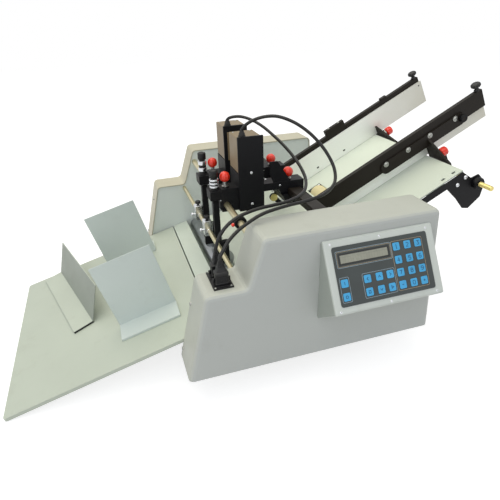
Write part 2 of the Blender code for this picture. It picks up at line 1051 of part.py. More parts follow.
def tray_side_guide(name, inset_along, y, outward):
    """An upright plate on a magnetic foot that turns away from the stack."""
    start = TRAY.length - inset_along
    end = start + SIDE_GUIDE.length
    back = y + outward * SIDE_GUIDE.thick
    plate = across(
        name,
        rectangle(start, end, GAP, SIDE_GUIDE.height),
        min(y, back),
        max(y, back),
        "plate_grey",
        on_tray,
    )
    toe = y + outward * SIDE_GUIDE.foot
    foot = across(
        "foot",
        rectangle(start, end, GAP, SIDE_GUIDE.magnet + SIDE_GUIDE.thick),
        min(y, toe),
        max(y, toe),
        "plate_grey",
        on_tray,
    )
    join(plate, foot)
    x, z = on_tray((start + end) / 2, 0)
    return turn_about(plate, (x, y, z))


def end_stop():
    """The plate that sheets run up against, set askew, leaning over the stack from its magnetic foot."""
    turn = math.radians(END_STOP_TURN_DEG)
    half = END_STOP.length / 2
    low = END_STOP.magnet + END_STOP.thick
    outline = [
        (-END_STOP.foot, GAP),
        (0, GAP),
        (0, low - END_STOP.thick),
        (END_STOP.lean, END_STOP.height),
        (END_STOP.lean - END_STOP.thick, END_STOP.height),
        (-END_STOP.thick, low),
        (-END_STOP.foot, low),
    ]

    middle = TRAY.length - END_STOP.inset

    def to_world(out, height, side):
        along = middle + out * math.cos(turn) - side * math.sin(turn)
        y = END_STOP.y + out * math.sin(turn) + side * math.cos(turn)
        x, z = on_tray(along, height)
        return x, y, z

    stop = swept("end_stop", outline, -half, half, "plate_grey", to_world)
    x, z = on_tray(middle, 0)
    return turn_about(stop, (x, END_STOP.y, z))


def delivery():
    """Everything on the delivery side."""
    delivery_tray()
    tray_side_guide("tray_guide_front", SIDE_GUIDE.front_inset, SIDE_GUIDE.front_y, -1)
    tray_side_guide("tray_guide_rear", SIDE_GUIDE.rear_inset, SIDE_GUIDE.rear_y, 1)
    end_stop()


# Feed: table, side guides and what carries them


def table_outline():
    """The feed table's section: its lip, the steep feed slope, then the tray's slope down to the anvil."""
    feed, tray = math.radians(TABLE_SLOPE_DEG), tray_slope()
    low_x = ANVIL.x + ANVIL.radius + TABLE.low_clear
    start_x, start_z = on_tray(0, 0)
    bend_x = (start_z - start_x * math.tan(tray) - TABLE.rise_at_zero) / (math.tan(feed) - math.tan(tray))
    bend_z = TABLE.rise_at_zero + bend_x * math.tan(feed)
    low_z = bend_z - (bend_x - low_x) * math.tan(tray)
    under = TABLE.thick / math.cos(tray)
    under_feed = TABLE.thick / math.cos(feed)
    bend_drop = (under + under_feed) / 2
    return [
        on_table(TABLE.end, 0),
        (bend_x, bend_z),
        (low_x, low_z),
        (low_x, low_z - under),
        (bend_x, bend_z - bend_drop),
        on_table(TABLE.end - TABLE.thick, -TABLE.thick),
        on_table(TABLE.end - TABLE.thick, -TABLE.end_lip),
        on_table(TABLE.end, -TABLE.end_lip),
    ]


def feed_table():
    """Table plate with the feed wheel's slot, two fixing slots and the tab for the screw rod's far end."""
    near_y, far_y = table_near(), table_far()
    table = across("feed_table", table_outline(), near_y, far_y, "table_white")
    rod_along = screw_rod_along()
    tab_low = -SCREW_ROD.depth - TABLE.tab_below
    tab = [
        (TABLE.end - TABLE.tab_reach, -TABLE.thick / 2),
        (TABLE.end - TABLE.thick / 2, -TABLE.thick / 2),
        (rod_along + TABLE.tab_margin, -SCREW_ROD.depth + TABLE.tab_margin),
        (rod_along + TABLE.tab_margin, tab_low),
        (TABLE.end, tab_low),
    ]
    tab_inner = far_y - TABLE.tab_thick
    join(table, across("tab", tab, tab_inner, far_y, "table_white", on_table))
    half_slot = math.sqrt(FEED.wheel_radius**2 - FEED.depth**2) + FEED.slot_clear
    slot_side = FEED.wheel_length / 2 + FEED.slot_side
    slot = rectangle(FEED.along - half_slot, FEED.along + half_slot, -slot_side, slot_side)
    cut(table, stood_on("slot", slot, -TABLE.thick - OVERRUN, OVERRUN, "table_white", on_table))
    for i in range(2):
        end = TABLE.end - TABLE.hole_inset - i * TABLE.hole_pitch
        side = near_y + TABLE.hole_inset
        hole = rectangle(end - TABLE.hole_length, end, side - TABLE.hole_radius, side + TABLE.hole_radius)
        cut(table, stood_on("hole", hole, -TABLE.thick - OVERRUN, OVERRUN, "table_white", on_table))
    return cut(table, bore_through(*screw_rod_at(), SCREW_ROD.radius + GAP, tab_inner, far_y))


def guide_plate(name, low_y, high_y):
    """The aluminium face of a feed side guide."""
    outline = rectangle(BAR.start, BAR.start + BAR.length + GUIDE.end_past, GUIDE.foot_clear, GUIDE.height)
    plate = across(name, outline, low_y, high_y, "guide_aluminium", on_table)
    x, z = on_table(BAR.start, GUIDE.foot_clear)
    return turn_about(plate, (x, low_y, z))


def guide_carrier(name, face_y, outward, brace_outline):
    """The black bar behind a guide, with its brace at the table's end and the sleeve on the screw rod."""
    back = face_y + outward * BAR.thick
    low_y, high_y = min(face_y, back), max(face_y, back)
    bar = across(
        name,
        rectangle(BAR.start, BAR.start + BAR.length, BAR.low, BAR.high),
        low_y,
        high_y,
        "brown_black",
        on_table,
    )
    start = brace_along()
    join(bar, along_slope("brace", brace_outline, start, start + BAR.brace_thick, "brown_black", on_table))
    sleeve_side = face_y + outward * BAR.sleeve_length
    outline = rectangle(
        start + OVERLAP,
        screw_rod_along() + BAR.sleeve_past,
        -SCREW_ROD.depth - BAR.sleeve_below,
        -SCREW_ROD.depth + BAR.sleeve_above,
    )
    sleeve_low, sleeve_high = min(face_y, sleeve_side), max(face_y, sleeve_side)
    join(bar, across("sleeve", outline, sleeve_low, sleeve_high, "brown_black", on_table))
    bore_low, bore_high = min(low_y, sleeve_side), max(high_y, sleeve_side)
    return cut(bar, bore_through(*screw_rod_at(), SCREW_ROD.radius + GAP, bore_low, bore_high))


def near_carrier():
    """Carrier of the near guide, with the strap and its thumb nut on the side that the operator sees."""
    face = GUIDE.near_face - GUIDE.thick - GAP
    toe = face - BAR.brace_reach
    brace = [
        (face, BAR.brace_top),
        (face - BAR.thick, BAR.brace_top),
        (toe, -BAR.brace_tip),
        (toe, -BAR.brace_toe),
        (face - BAR.sleeve_length, -BAR.brace_foot),
        (face, -BAR.brace_foot),
    ]
    bar = guide_carrier("near_guide_bar", face, -1, brace)
    back = face - BAR.thick
    strap_start = BAR.start + BAR.strap_after
    strap_end = strap_start + BAR.strap_length
    corners = rectangle(strap_start, strap_end, BAR.strap_low, BAR.strap_high)
    strap = across(
        "strap",
        rounded(corners, (BAR.strap_high - BAR.strap_low) / 2 - OVERLAP),
        back - BAR.strap_thick,
        back + OVERLAP,
        "brown_black",
        on_table,
    )
    join(bar, strap)
    x, z = on_table(BAR.start + BAR.side_knob_after, BAR.side_knob_rise)
    start = (x, back, z)
    end = (x, back - BAR.strap_thick - BAR.side_knob_length, z)
    join(bar, bar_between("nut", start, end, BAR.side_knob_radius, "brown_black"))
    x, z = on_table(BAR.start, BAR.low)
    return turn_about(bar, (x, face, z))


def far_carrier():
    """Carrier of the far guide: its brace passes under the guide and shows inside it."""
    face = GUIDE.far_face + GUIDE.thick + GAP
    inner = GUIDE.far_face - GAP
    toe = face - BAR.brace_reach - BAR.sleeve_length
    under = GUIDE.foot_clear - GAP
    brace = [
        (face + BAR.thick, BAR.brace_top),
        (face, BAR.brace_top),
        (face, under),
        (inner, under),
        (inner, BAR.brace_step),
        (toe, -BAR.brace_tip),
        (toe, -BAR.brace_toe),
        (face - BAR.sleeve_length, -BAR.brace_foot),
        (face + BAR.thick, -BAR.brace_foot),
    ]
    bar = guide_carrier("far_guide_bar", face, 1, brace)
    for start, length, rise in (
        (BAR.start + BAR.block_after, BAR.block_length, BAR.block_rise),
        (BAR.start + BAR.stop_after, BAR.stop_length, BAR.stop_rise),
    ):
        outline = rectangle(start, start + length, BAR.high - OVERLAP, BAR.high + rise)
        join(bar, across("block", outline, face, face + BAR.thick, "brown_black", on_table))
    x, z = on_table(BAR.start, BAR.low)
    return turn_about(bar, (x, face, z))


def guide_lock_knob(name, y):
    """Red knob on a brace that locks the guide on the screw rod."""
    base = brace_along() + BAR.brace_thick + GAP
    x, z = on_table(base, LOCK.rise)
    ahead_x, ahead_z = on_table(base + LOCK.length, LOCK.rise)
    direction = (ahead_x - x, 0, ahead_z - z)
    profile = [
        (0, LOCK.stem_radius),
        (LOCK.stem_length, LOCK.stem_radius),
        (LOCK.stem_length, LOCK.radius),
        (LOCK.stem_length + LOCK.length / 2, LOCK.radius),
        (LOCK.stem_length + LOCK.length, LOCK.radius / 2),
    ]
    knob = turned(name, profile, (x, y, z), direction, "red_plastic")
    return turn_about(knob, (x, y, z))


def wing_knob(name, y):
    """Black thumb screw on top of a guide bar's free end."""
    along = BAR.start + BAR.length - WING.end_inset
    x, z = on_table(along, BAR.high + GAP)
    ahead_x, ahead_z = on_table(along, BAR.high + GAP + WING.length)
    top = WING.stem_length + WING.length
    profile = [
        (0, WING.stem_radius),
        (WING.stem_length, WING.stem_radius),
        (WING.stem_length, WING.radius - WING.chamfer),
        (WING.stem_length + WING.chamfer, WING.radius),
        (top - WING.chamfer, WING.radius),
        (top, WING.radius - WING.chamfer),
    ]
    direction = (ahead_x - x, 0, ahead_z - z)
    knob = turned(
        name, profile, (x, y, z), direction, "black_plastic", ROUND_SIDES, WING.lobes, WING.lobe_share
    )
    return turn_about(knob, (x, y, z))


def register_bracket():
    """Black bracket under the table's near edge; its boss carries the screw rod's near end."""
    inner = table_near() - GAP
    outer = inner - BRACKET.thick
    rod, depth = screw_rod_along(), -SCREW_ROD.depth
    neck = rod - BRACKET.neck_before
    outline = [
        (neck - BRACKET.bar_length, -BRACKET.bar_depth),
        (neck, -BRACKET.bar_depth),
        (rod - BRACKET.waist_before, depth - BRACKET.waist_below),
        (rod - BRACKET.foot_before, depth - BRACKET.foot_below),
        (rod - BRACKET.heel_before, depth - BRACKET.heel_below),
        (rod, depth - BRACKET.toe_below),
        (rod + BRACKET.nose_past, depth - BRACKET.nose_below),
        (rod + BRACKET.brow_past, depth + BRACKET.brow_above),
        (rod - BRACKET.notch_before, depth + BRACKET.notch_above),
        (rod - BRACKET.bar_end_before, -BRACKET.bar_top),
        (neck - BRACKET.bar_length, -BRACKET.bar_top),
    ]
    bracket = across("register_bracket", outline, outer, inner, "black_steel", on_table)
    flange_high = -TABLE.thick - GAP
    flange_end = rod - BRACKET.flange_before
    flange_start = flange_end - BRACKET.flange_length
    flange = rectangle(flange_start, flange_end, flange_high - BRACKET.thick, flange_high)
    reach = inner + BRACKET.flange_reach
    join(bracket, across("flange", flange, inner - OVERLAP, reach, "black_steel", on_table))
    x, z = screw_rod_at()
    end = (x, inner - BRACKET.nut_depth, z)
    join(bracket, bar_between("boss", (x, inner - OVERLAP, z), end, BRACKET.nut_radius, "black_steel"))
    return cut(bracket, bore_through(x, z, SCREW_ROD.radius + GAP, inner - BRACKET.nut_depth, inner))


def screw_rod():
    """Brass rod that the side guides slide on, threaded where it stands out past the bracket."""
    x, z = screw_rod_at()
    thread_end = table_near() - GAP - BRACKET.nut_depth - GAP
    profile = [
        (0, SCREW_ROD.thread_radius),
        (SCREW_ROD.thread_length, SCREW_ROD.thread_radius),
        (SCREW_ROD.thread_length, SCREW_ROD.radius),
        (SCREW_ROD.thread_length + table_far() - thread_end, SCREW_ROD.radius),
    ]
    base = (x, thread_end - SCREW_ROD.thread_length, z)
    rod = turned("guide_screw_rod", profile, base, (0, 1, 0), "brass", SMALL_SIDES)
    return turn_about(rod, (x, 0, z))


def feed():
    """Everything on the feed side."""
    feed_table()
    guide_plate("near_guide_plate", GUIDE.near_face - GUIDE.thick, GUIDE.near_face)
    guide_plate("far_guide_plate", GUIDE.far_face, GUIDE.far_face + GUIDE.thick)
    near_carrier()
    far_carrier()
    near_back = GUIDE.near_face - GUIDE.thick - GAP
    far_back = GUIDE.far_face + GUIDE.thick + GAP
    guide_lock_knob("near_guide_lock_knob", near_back - LOCK.near_offset)
    guide_lock_knob("far_guide_lock_knob", far_back - LOCK.far_offset)
    wing_knob("near_guide_end_knob", near_back - BAR.thick / 2)
    wing_knob("far_guide_end_knob", far_back + BAR.thick / 2)
    register_bracket()
    screw_rod()


# Drive: motor, pulleys, belt and the rollers that they turn


def pulley_profile(radius):
    """A toothless pulley's edge between two thin flanges, as heights and radii."""
    flange = (PULLEY.width - BELT.width) / 2 - GAP
    rim = radius + BELT.thick
    return [
        (0, rim),
        (flange, rim),
        (flange, radius),
        (PULLEY.width - flange, radius),
        (PULLEY.width - flange, rim),
        (PULLEY.width, rim),
    ]


def driven_shaft(name, x, z, journal, body, body_start, body_end, pulley):
    """A shaft in the two side frames, thicker between them, with its pulley outside the near one."""
    pulley_end = near_frame_back() - PULLEY.gap
    base = (x, pulley_end - PULLEY.width, z)
    profile = pulley_profile(pulley)
    profile.append((PULLEY.width, journal))
    if body:
        profile += [
            (body_start - base[1], journal),
            (body_start - base[1], body),
            (body_end - base[1], body),
            (body_end - base[1], journal),
        ]
    profile.append((far_face() + FRAME.thick - base[1], journal))
    shaft = turned(name, profile, base, (0, 1, 0), "steel", ROLLER_SIDES)
    return turn_about(shaft, (x, 0, z))


def feed_wheel():
    """Soft feed wheel that pulls the lowest sheet off the stack."""
    x, z = feed_shaft_at()
    start = (x, -FEED.wheel_length / 2, z)
    end = (x, FEED.wheel_length / 2, z)
    wheel = bar_between("feed_wheel", start, end, FEED.wheel_radius, "feed_rubber", ROLLER_SIDES)
    cut(wheel, bore_through(x, z, FEED.shaft_radius + GAP, start[1], end[1]))
    return turn_about(wheel, (x, 0, z))


def drive_motor():
    """Motor on the near frame's inner face, bored for its shaft."""
    front = near_face() + GAP
    profile = [
        (0, MOTOR.boss_radius),
        (MOTOR.boss_length, MOTOR.boss_radius),
        (MOTOR.boss_length, MOTOR.radius),
        (MOTOR.length, MOTOR.radius),
    ]
    motor = turned("drive_motor", profile, (MOTOR.x, front, MOTOR.z), (0, 1, 0), "black_steel")
    return cut(motor, bore_through(MOTOR.x, MOTOR.z, MOTOR.shaft_radius + GAP, front, front))


def motor_pulley():
    """The motor's shaft end with its pulley."""
    end = near_frame_back() - PULLEY.gap
    base_y = end - PULLEY.width
    profile = pulley_profile(PULLEY.motor_radius)
    profile.append((PULLEY.width, MOTOR.shaft_radius))
    profile.append((near_face() + OVERRUN - GAP - base_y, MOTOR.shaft_radius))
    pulley = turned("motor_pulley", profile, (MOTOR.x, base_y, MOTOR.z), (0, 1, 0), "steel")
    return turn_about(pulley, (MOTOR.x, base_y, MOTOR.z))


def drive_belt():
    """One belt round the four pulleys."""
    wheels = [
        (*feed_shaft_at(), PULLEY.feed_radius),
        (ANVIL.x, ANVIL.z, PULLEY.anvil_radius),
        (exit_roller_x(), EXIT.z, PULLEY.exit_radius),
        (MOTOR.x, MOTOR.z, PULLEY.motor_radius),
    ]

    def loop_outline(extra):
        points = []
        for x, z, radius in wheels:
            reach = radius + extra
            for i in range(ROLLER_SIDES):
                turn = 2 * math.pi * i / ROLLER_SIDES
                points.append((x + reach * math.cos(turn), z + reach * math.sin(turn)))
        return hull(points)

    middle = near_frame_back() - PULLEY.gap - PULLEY.width / 2
    low, high = middle - BELT.width / 2, middle + BELT.width / 2
    belt = across("drive_belt", loop_outline(GAP + BELT.thick), low, high, "black_rubber")
    inside = across("inside", loop_outline(GAP), low - OVERRUN, high + OVERRUN, "black_rubber")
    return cut(belt, inside)


def feed_gate():
    """Black block that hooks on the head rail and keeps sheets down as they leave the feed wheel."""
    left, right = RAIL.left - GATE.side, RAIL.right + GAP + GATE.side
    seat = rail_low() - GAP
    outline = [
        (left, seat - GATE.drop),
        (right - GATE.corner, seat - GATE.drop),
        (right, seat - GATE.drop + GATE.corner),
        (right, seat + GATE.lip),
        (RAIL.right + GAP, seat + GATE.lip),
        (RAIL.right + GAP, seat),
        (RAIL.left - GAP, seat),
        (RAIL.left - GAP, seat + GATE.lip),
        (RAIL.left - GATE.wedge, seat + GATE.lip),
    ]
    end = GATE.start_y + GATE.length
    gate = across("feed_gate", outline, GATE.start_y, end, "black_steel")
    x, z = left - GATE.feeler_out, seat - GATE.feeler_drop
    neck = rectangle(left, left + GATE.neck, z, seat - GATE.drop + GATE.corner)
    join(gate, across("neck", neck, end - GATE.feeler_width + OVERLAP, end - OVERLAP, "black_steel"))
    disc_start = (x, end - GATE.feeler_width, z)
    disc = bar_between("disc", disc_start, (x, end, z), GATE.feeler_radius, "black_steel")
    join(gate, disc)
    tip_x, tip_z = x + GATE.lever_reach, z - GATE.lever_reach
    lever = [
        (x - GATE.lever_half, z - GATE.lever_half),
        (tip_x - GATE.lever_half, tip_z - GATE.lever_half / 2),
        (tip_x + GATE.lever_half, tip_z + GATE.lever_half / 2),
        (x + GATE.lever_half, z + GATE.lever_half),
    ]
    lever_start = end - (GATE.feeler_width + GATE.lever_width) / 2
    join(gate, across("lever", lever, lever_start, lever_start + GATE.lever_width, "black_steel"))
    return turn_about(gate, (RAIL.left, GATE.start_y, rail_low()))


def drive():
    """Rollers, feed wheel, motor and belt."""
    driven_shaft("feed_shaft", *feed_shaft_at(), FEED.shaft_radius, 0, 0, 0, PULLEY.feed_radius)
    rollers = (
        ("anvil_roller", ANVIL.x, ANVIL, PULLEY.anvil_radius),
        ("exit_roller", exit_roller_x(), EXIT, PULLEY.exit_radius),
    )
    for name, x, roller, pulley in rollers:
        start = near_face() + roller.end_clear
        end = far_face() - roller.end_clear
        driven_shaft(name, x, roller.z, roller.journal_radius, roller.radius, start, end, pulley)
    feed_wheel()
    drive_motor()
    motor_pulley()
    drive_belt()
    feed_gate()


# Heads: rods, carriages, coil boxes, screws, blades and rod clamps


def cross_rod(name, x, z, radius, colour):
    """A rod bolted between the side frames."""
    return bar_between(name, (x, near_face() + GAP, z), (x, far_face() - GAP, z), radius, colour)


def head_rail():
    """Flat rail that carries the heads' feed-side arms."""
    outline = rounded(rectangle(RAIL.left, RAIL.right, rail_low(), rail_high()), RAIL.edge)
    return across("head_rail", outline, near_face() + GAP, far_face() - GAP, "brown_black")


def knob_guard(start):
    """Upright plate on the front head's feed-side arm, that stands before its red knob."""
    top = rail_high() + GAP + HEAD.right_arm_thick
    back = RAIL.left - HEAD.guard_back
    outline = [
        (RAIL.left - HEAD.guard_foot, top - OVERLAP),
        (RAIL.left + HEAD.guard_ahead, top - OVERLAP),
        (RAIL.left + HEAD.guard_top_ahead, top + HEAD.guard_height),
        (back, top + HEAD.guard_height),
        (back, top + HEAD.guard_step),
    ]
    return across("guard", outline, start + OVERLAP * 2, start + HEAD.guard_thick, "black_steel")


def head_body(name, front, guarded):
    """A head's carriage: front plate, block, and an arm to each side on the rod and on the rail."""
    rod_x, rod_z = head_rod_at()
    left = rod_x + HEAD.start
    right = left + HEAD.width
    low = rod_z - HEAD.below
    plate = rectangle(left, right, low, head_top())
    body = across(name, plate, front, front + HEAD.plate, "black_steel")
    block = rectangle(left, right, low, rod_z + HEAD.shoulder)
    join(body, across("block", block, front + HEAD.plate - OVERLAP, front + HEAD.depth, "black_steel"))
    start, end = front + HEAD.arm_start, front + HEAD.arm_start + HEAD.arm_width
    arm_left = rod_x - HEAD.arm_back
    left_arm = rectangle(arm_left, left + OVERLAP, rod_z - HEAD.arm_below, rod_z + HEAD.arm_above)
    join(body, across("left_arm", left_arm, start, end, "black_steel"))
    lug = rectangle(rod_x - HEAD.lug_back, arm_left + OVERLAP, rod_z + HEAD.lug_low, lug_high())
    join(body, across("lug", lug, start + OVERLAP, end - OVERLAP, "black_steel"))
    seat = rail_high() + GAP
    jaw_left = RAIL.right + GAP
    right_arm = [
        (right - OVERLAP, seat),
        (RAIL.left - HEAD.hook_top, seat),
        (RAIL.left - HEAD.hook_low, seat - HEAD.jaw_drop),
        (RAIL.left - GAP, seat - HEAD.jaw_drop),
        (RAIL.left - GAP, seat),
        (jaw_left, seat),
        (jaw_left, seat - HEAD.jaw_drop),
        (jaw_left + HEAD.jaw, seat - HEAD.jaw_drop),
        (jaw_left + HEAD.jaw, seat + HEAD.right_arm_thick),
        (right - OVERLAP, seat + HEAD.right_arm_thick),
    ]
    join(body, across("right_arm", right_arm, start + OVERLAP, end - OVERLAP, "black_steel"))
    if guarded:
        join(body, knob_guard(start))
    cut(body, bore_through(rod_x, rod_z, HEAD_ROD.radius + GAP, start, end))
    screw_y = front + HEAD.screw_start
    hole_start = (depth_screw_x(), screw_y, rod_z + HEAD.lug_low - OVERRUN)
    hole_end = (depth_screw_x(), screw_y, lug_high() + OVERRUN)
    radius = DEPTH_SCREW.stud_radius + GAP
    cut(body, bar_between("hole", hole_start, hole_end, radius, "black_steel", SMALL_SIDES))
    return turn_about(body, (rod_x, front + HEAD.depth / 2, rod_z))


def coil_box(name, front):
    """The tan coil box behind a head's front plate, with the gland that its lead leaves by."""
    rod_x, rod_z = head_rod_at()
    left = rod_x + HEAD.start + COIL_BOX.inset
    right = rod_x + HEAD.start + HEAD.width - COIL_BOX.inset
    low, high = rod_z + HEAD.shoulder + GAP, head_top() - COIL_BOX.drop
    start, end = front + HEAD.plate + GAP, front + HEAD.depth
    box = across(name, rectangle(left, right, low, high), start, end, "coil_tan")
    soften(box, COIL_BOX_EDGE, 1)
    x, y = gland_place(name, front)
    base = (x, y, high - OVERLAP)
    top = (x, y, high + COIL_BOX.gland_height)
    join(box, bar_between("gland", base, top, COIL_BOX.gland_radius, "coil_tan", SMALL_SIDES))
    return turn_about(box, (rod_x, front + HEAD.depth / 2, rod_z))


def gland_place(name, front):
    """World X and Y of the gland on a coil box: the start of that head's lead."""
    route = REAR_LEAD_ROUTE if name.startswith("rear") else FRONT_LEAD_ROUTE
    return route[0][0], front + HEAD.plate + GAP + COIL_BOX.gland_inset - COIL_BOX.gland_radius / 2


def red_lock_knob(name, x, y, z, stem_length):
    """Red ball knob that clamps a head."""
    first = math.asin(RED_KNOB.stem_radius / RED_KNOB.ball_radius)
    centre = stem_length + RED_KNOB.ball_radius * math.cos(first)
    profile = [(0, RED_KNOB.stem_radius)]
    for i in range(BALL_STEPS):
        turn = first + (math.pi - first) * i / BALL_STEPS
        rise, reach = RED_KNOB.ball_radius * math.cos(turn), RED_KNOB.ball_radius * math.sin(turn)
        profile.append((centre - rise, reach))
    profile.append((centre + RED_KNOB.ball_radius, 0))
    knob = turned(name, profile, (x, y, z), (0, 0, 1), "red_plastic", SMALL_SIDES)
    return turn_about(knob, (x, y, z))


def depth_screw(name, y, rise):
    """Screw that sets how deep a blade bites: stud, ribbed silver collar and black knob."""
    x, stud_low = depth_screw_x(), holder_top() - DEPTH_SCREW.stud_reach
    base = lug_high() + GAP
    collar_end = base + DEPTH_SCREW.collar_height + rise
    neck_end = collar_end + DEPTH_SCREW.neck_height
    knob_end = neck_end + DEPTH_SCREW.knob_height
    chamfer = DEPTH_SCREW.chamfer
    heights = [
        (stud_low, DEPTH_SCREW.stud_radius),
        (base, DEPTH_SCREW.stud_radius),
        (base, DEPTH_SCREW.collar_radius),
        (collar_end, DEPTH_SCREW.collar_radius),
        (collar_end, DEPTH_SCREW.neck_radius),
        (neck_end, DEPTH_SCREW.neck_radius),
        (neck_end, DEPTH_SCREW.knob_radius),
        (knob_end - chamfer, DEPTH_SCREW.knob_radius),
        (knob_end, DEPTH_SCREW.knob_radius - chamfer),
    ]
    profile = [(height - stud_low, radius) for height, radius in heights]
    screw = turned(name, profile, (x, y, stud_low), (0, 0, 1), "silver")
    return turn_about(screw, (x, y, lug_high()))


def blade_holder(name, y):
    """The fork that hangs from a depth screw and holds a blade."""
    half = HOLDER.half_width
    x, top = depth_screw_x(), holder_top()
    fork_left, fork_right = ANVIL.x - HOLDER.fork_back, ANVIL.x + HOLDER.fork_ahead
    fork_low, fork_high = blade_z() - HOLDER.fork_below, blade_z() + HOLDER.fork_above
    shank = rectangle(x - half, x + half, fork_high - HOLDER.shank_lap, top)
    holder = across(name, shank, y - half, y + half, "black_steel")
    fork = rectangle(fork_left, fork_right, fork_low, fork_high)
    join(holder, across("fork", fork, y - half, y + half, "black_steel"))
    slot_half = BLADE.thick / 2 + HOLDER.side_clear
    slot_high = blade_z() + BLADE.radius + HOLDER.slot_clear
    slot = rectangle(fork_left - OVERRUN, fork_right + OVERRUN, fork_low - OVERRUN, slot_high)
    cut(holder, across("slot", slot, y - slot_half, y + slot_half, "black_steel"))
    cut(holder, bore_through(ANVIL.x, blade_z(), BLADE.axle_radius + GAP, y - half, y + half))
    mouth = (x, y, top + OVERRUN)
    bottom = (x, y, top - DEPTH_SCREW.stud_reach - HOLDER.bore_spare)
    radius = DEPTH_SCREW.stud_radius + GAP
    cut(holder, bar_between("bore", mouth, bottom, radius, "black_steel", SMALL_SIDES))
    return turn_about(holder, (x, y, top))


def blade_wheel(name, y):
    """A round blade with its axle."""
    half = BLADE.thick / 2
    reach = HOLDER.half_width - half
    far_side = reach + BLADE.thick
    profile = [
        (0, BLADE.axle_radius),
        (reach, BLADE.axle_radius),
        (reach, BLADE.hub_radius),
        (reach + GAP, BLADE.radius - BLADE.thick),
        (reach + half - BLADE.rim / 2, BLADE.radius),
        (reach + half + BLADE.rim / 2, BLADE.radius),
        (far_side - GAP, BLADE.radius - BLADE.thick),
        (far_side, BLADE.hub_radius),
        (far_side, BLADE.axle_radius),
        (far_side + reach, BLADE.axle_radius),
    ]
    base = (ANVIL.x, y - HOLDER.half_width, blade_z())
    wheel = turned(name, profile, base, (0, 1, 0), "steel", ROLLER_SIDES)
    return turn_about(wheel, (ANVIL.x, y, blade_z()))


def rod_clamp(name, y):
    """Silver clamp on the exit rod, with a thumb screw on top and a set screw towards the tray."""
    rod_x, rod_z = exit_rod_at()
    low_y, high_y = y - ROD_CLAMP.width / 2, y + ROD_CLAMP.width / 2
    left, top = rod_x - ROD_CLAMP.back, rod_z + ROD_CLAMP.above
    outline = rectangle(left, rod_x + ROD_CLAMP.ahead, rod_z - ROD_CLAMP.below, top)
    clamp = across(name, outline, low_y, high_y, "silver")
    stem_end = OVERLAP + ROD_CLAMP.stem_length
    thumb = [
        (0, ROD_CLAMP.stem_radius),
        (stem_end, ROD_CLAMP.stem_radius),
        (stem_end, ROD_CLAMP.knob_radius),
        (stem_end + ROD_CLAMP.knob_length, ROD_CLAMP.knob_radius),
    ]
    foot = (rod_x - ROD_CLAMP.knob_back, y, top - OVERLAP)
    join(clamp, turned("thumb", thumb, foot, (0, 0, 1), "silver", SMALL_SIDES))
    screw_end = OVERLAP + ROD_CLAMP.screw_length
    screw = [
        (0, ROD_CLAMP.screw_radius),
        (screw_end, ROD_CLAMP.screw_radius),
        (screw_end, ROD_CLAMP.head_radius),
        (screw_end + ROD_CLAMP.head_length, ROD_CLAMP.head_radius),
    ]
    side = (left + OVERLAP, y, rod_z + ROD_CLAMP.screw_rise)
    join(clamp, turned("screw", screw, side, (-1, 0, 0), "silver", SMALL_SIDES))
    cut(clamp, bore_through(rod_x, rod_z, EXIT_ROD.radius + GAP, low_y, high_y))
    return turn_about(clamp, (rod_x, y, rod_z))


def heads():
    """Rods, rail, both heads and both rod clamps."""
    cross_rod("exit_rod", *exit_rod_at(), EXIT_ROD.radius, "zinc")
    cross_rod("head_rod", *head_rod_at(), HEAD_ROD.radius, "zinc")
    head_rail()
    rod_x, rod_z = head_rod_at()
    left_x, right_x = rod_x + RED_KNOB.left_ahead, RAIL.left + RED_KNOB.rail_inset
    left_z = rod_z + HEAD.arm_above + GAP
    right_z = rail_high() + GAP + HEAD.right_arm_thick + GAP
    for side, front, rise in (("front", HEAD.front_y, 0), ("rear", HEAD.rear_y, DEPTH_SCREW.rear_rise)):
        screw_y = front + HEAD.screw_start
        head_body(f"{side}_head", front, side == "front")
        coil_box(f"{side}_coil_box", front)
        red_lock_knob(f"{side}_left_lock_knob", left_x, screw_y, left_z, RED_KNOB.left_stem)
        red_lock_knob(f"{side}_right_lock_knob", right_x, screw_y, right_z, RED_KNOB.right_stem)
        depth_screw(f"{side}_depth_screw", screw_y, rise)
        blade_holder(f"{side}_blade_holder", screw_y)
        blade_wheel(f"{side}_blade", screw_y)
    rod_clamp("rear_rod_clamp", ROD_CLAMP.rear_y)
    rod_clamp("front_rod_clamp", ROD_CLAMP.front_y)


# Controls and leads


def box_line():
    """Top and bottom corner of the control box's sloping face, as Y and Z."""
    crown = cover_top() - BOX.below_top
    top = Vector((cover_face() - BOX.brow_out, crown - BOX.brow_drop))
    bottom = Vector((cover_face() - BOX.chin_out, crown - BOX.chin_drop))
    return top, bottom


def control_box():
    """Hollow wedge on the near cover, open towards it."""
    top, bottom = box_line()
    crown = cover_top() - BOX.below_top
    back = cover_face() - GAP
    behind = back + OVERRUN
    section = [(behind, crown - BOX.base_drop), tuple(bottom), tuple(top), (behind, crown)]
    shape = bmesh.new()
    ends = [[shape.verts.new((x, y, z)) for y, z in section] for x in (BOX.left, BOX.right)]
    for end in ends:
        shape.faces.new(end)
    for i in range(3):
        shape.faces.new((ends[0][i], ends[0][i + 1], ends[1][i + 1], ends[1][i]))
    bmesh.ops.recalc_face_normals(shape, faces=shape.faces)
    shape.faces.ensure_lookup_table()
    if shape.faces[0].normal.x > 0:
        bmesh.ops.reverse_faces(shape, faces=shape.faces)
    mesh = bpy.data.meshes.new("control_box")
    shape.to_mesh(mesh)
    shape.free()
    box = add_object("control_box", mesh, "cover_grey")
    soften(box, BOX.edge)
    step = box.modifiers.new("sheet", "SOLIDIFY")
    step.thickness = BOX.wall
    step.offset = -1
    step.use_even_offset = True
    step.use_rim = True
    low, high = crown - BOX.base_drop - OVERRUN, crown + OVERRUN
    outline = rectangle(BOX.left - OVERRUN, BOX.right + OVERRUN, low, high)
    return cut(box, across("behind", outline, back, behind + OVERRUN, "cover_grey"))


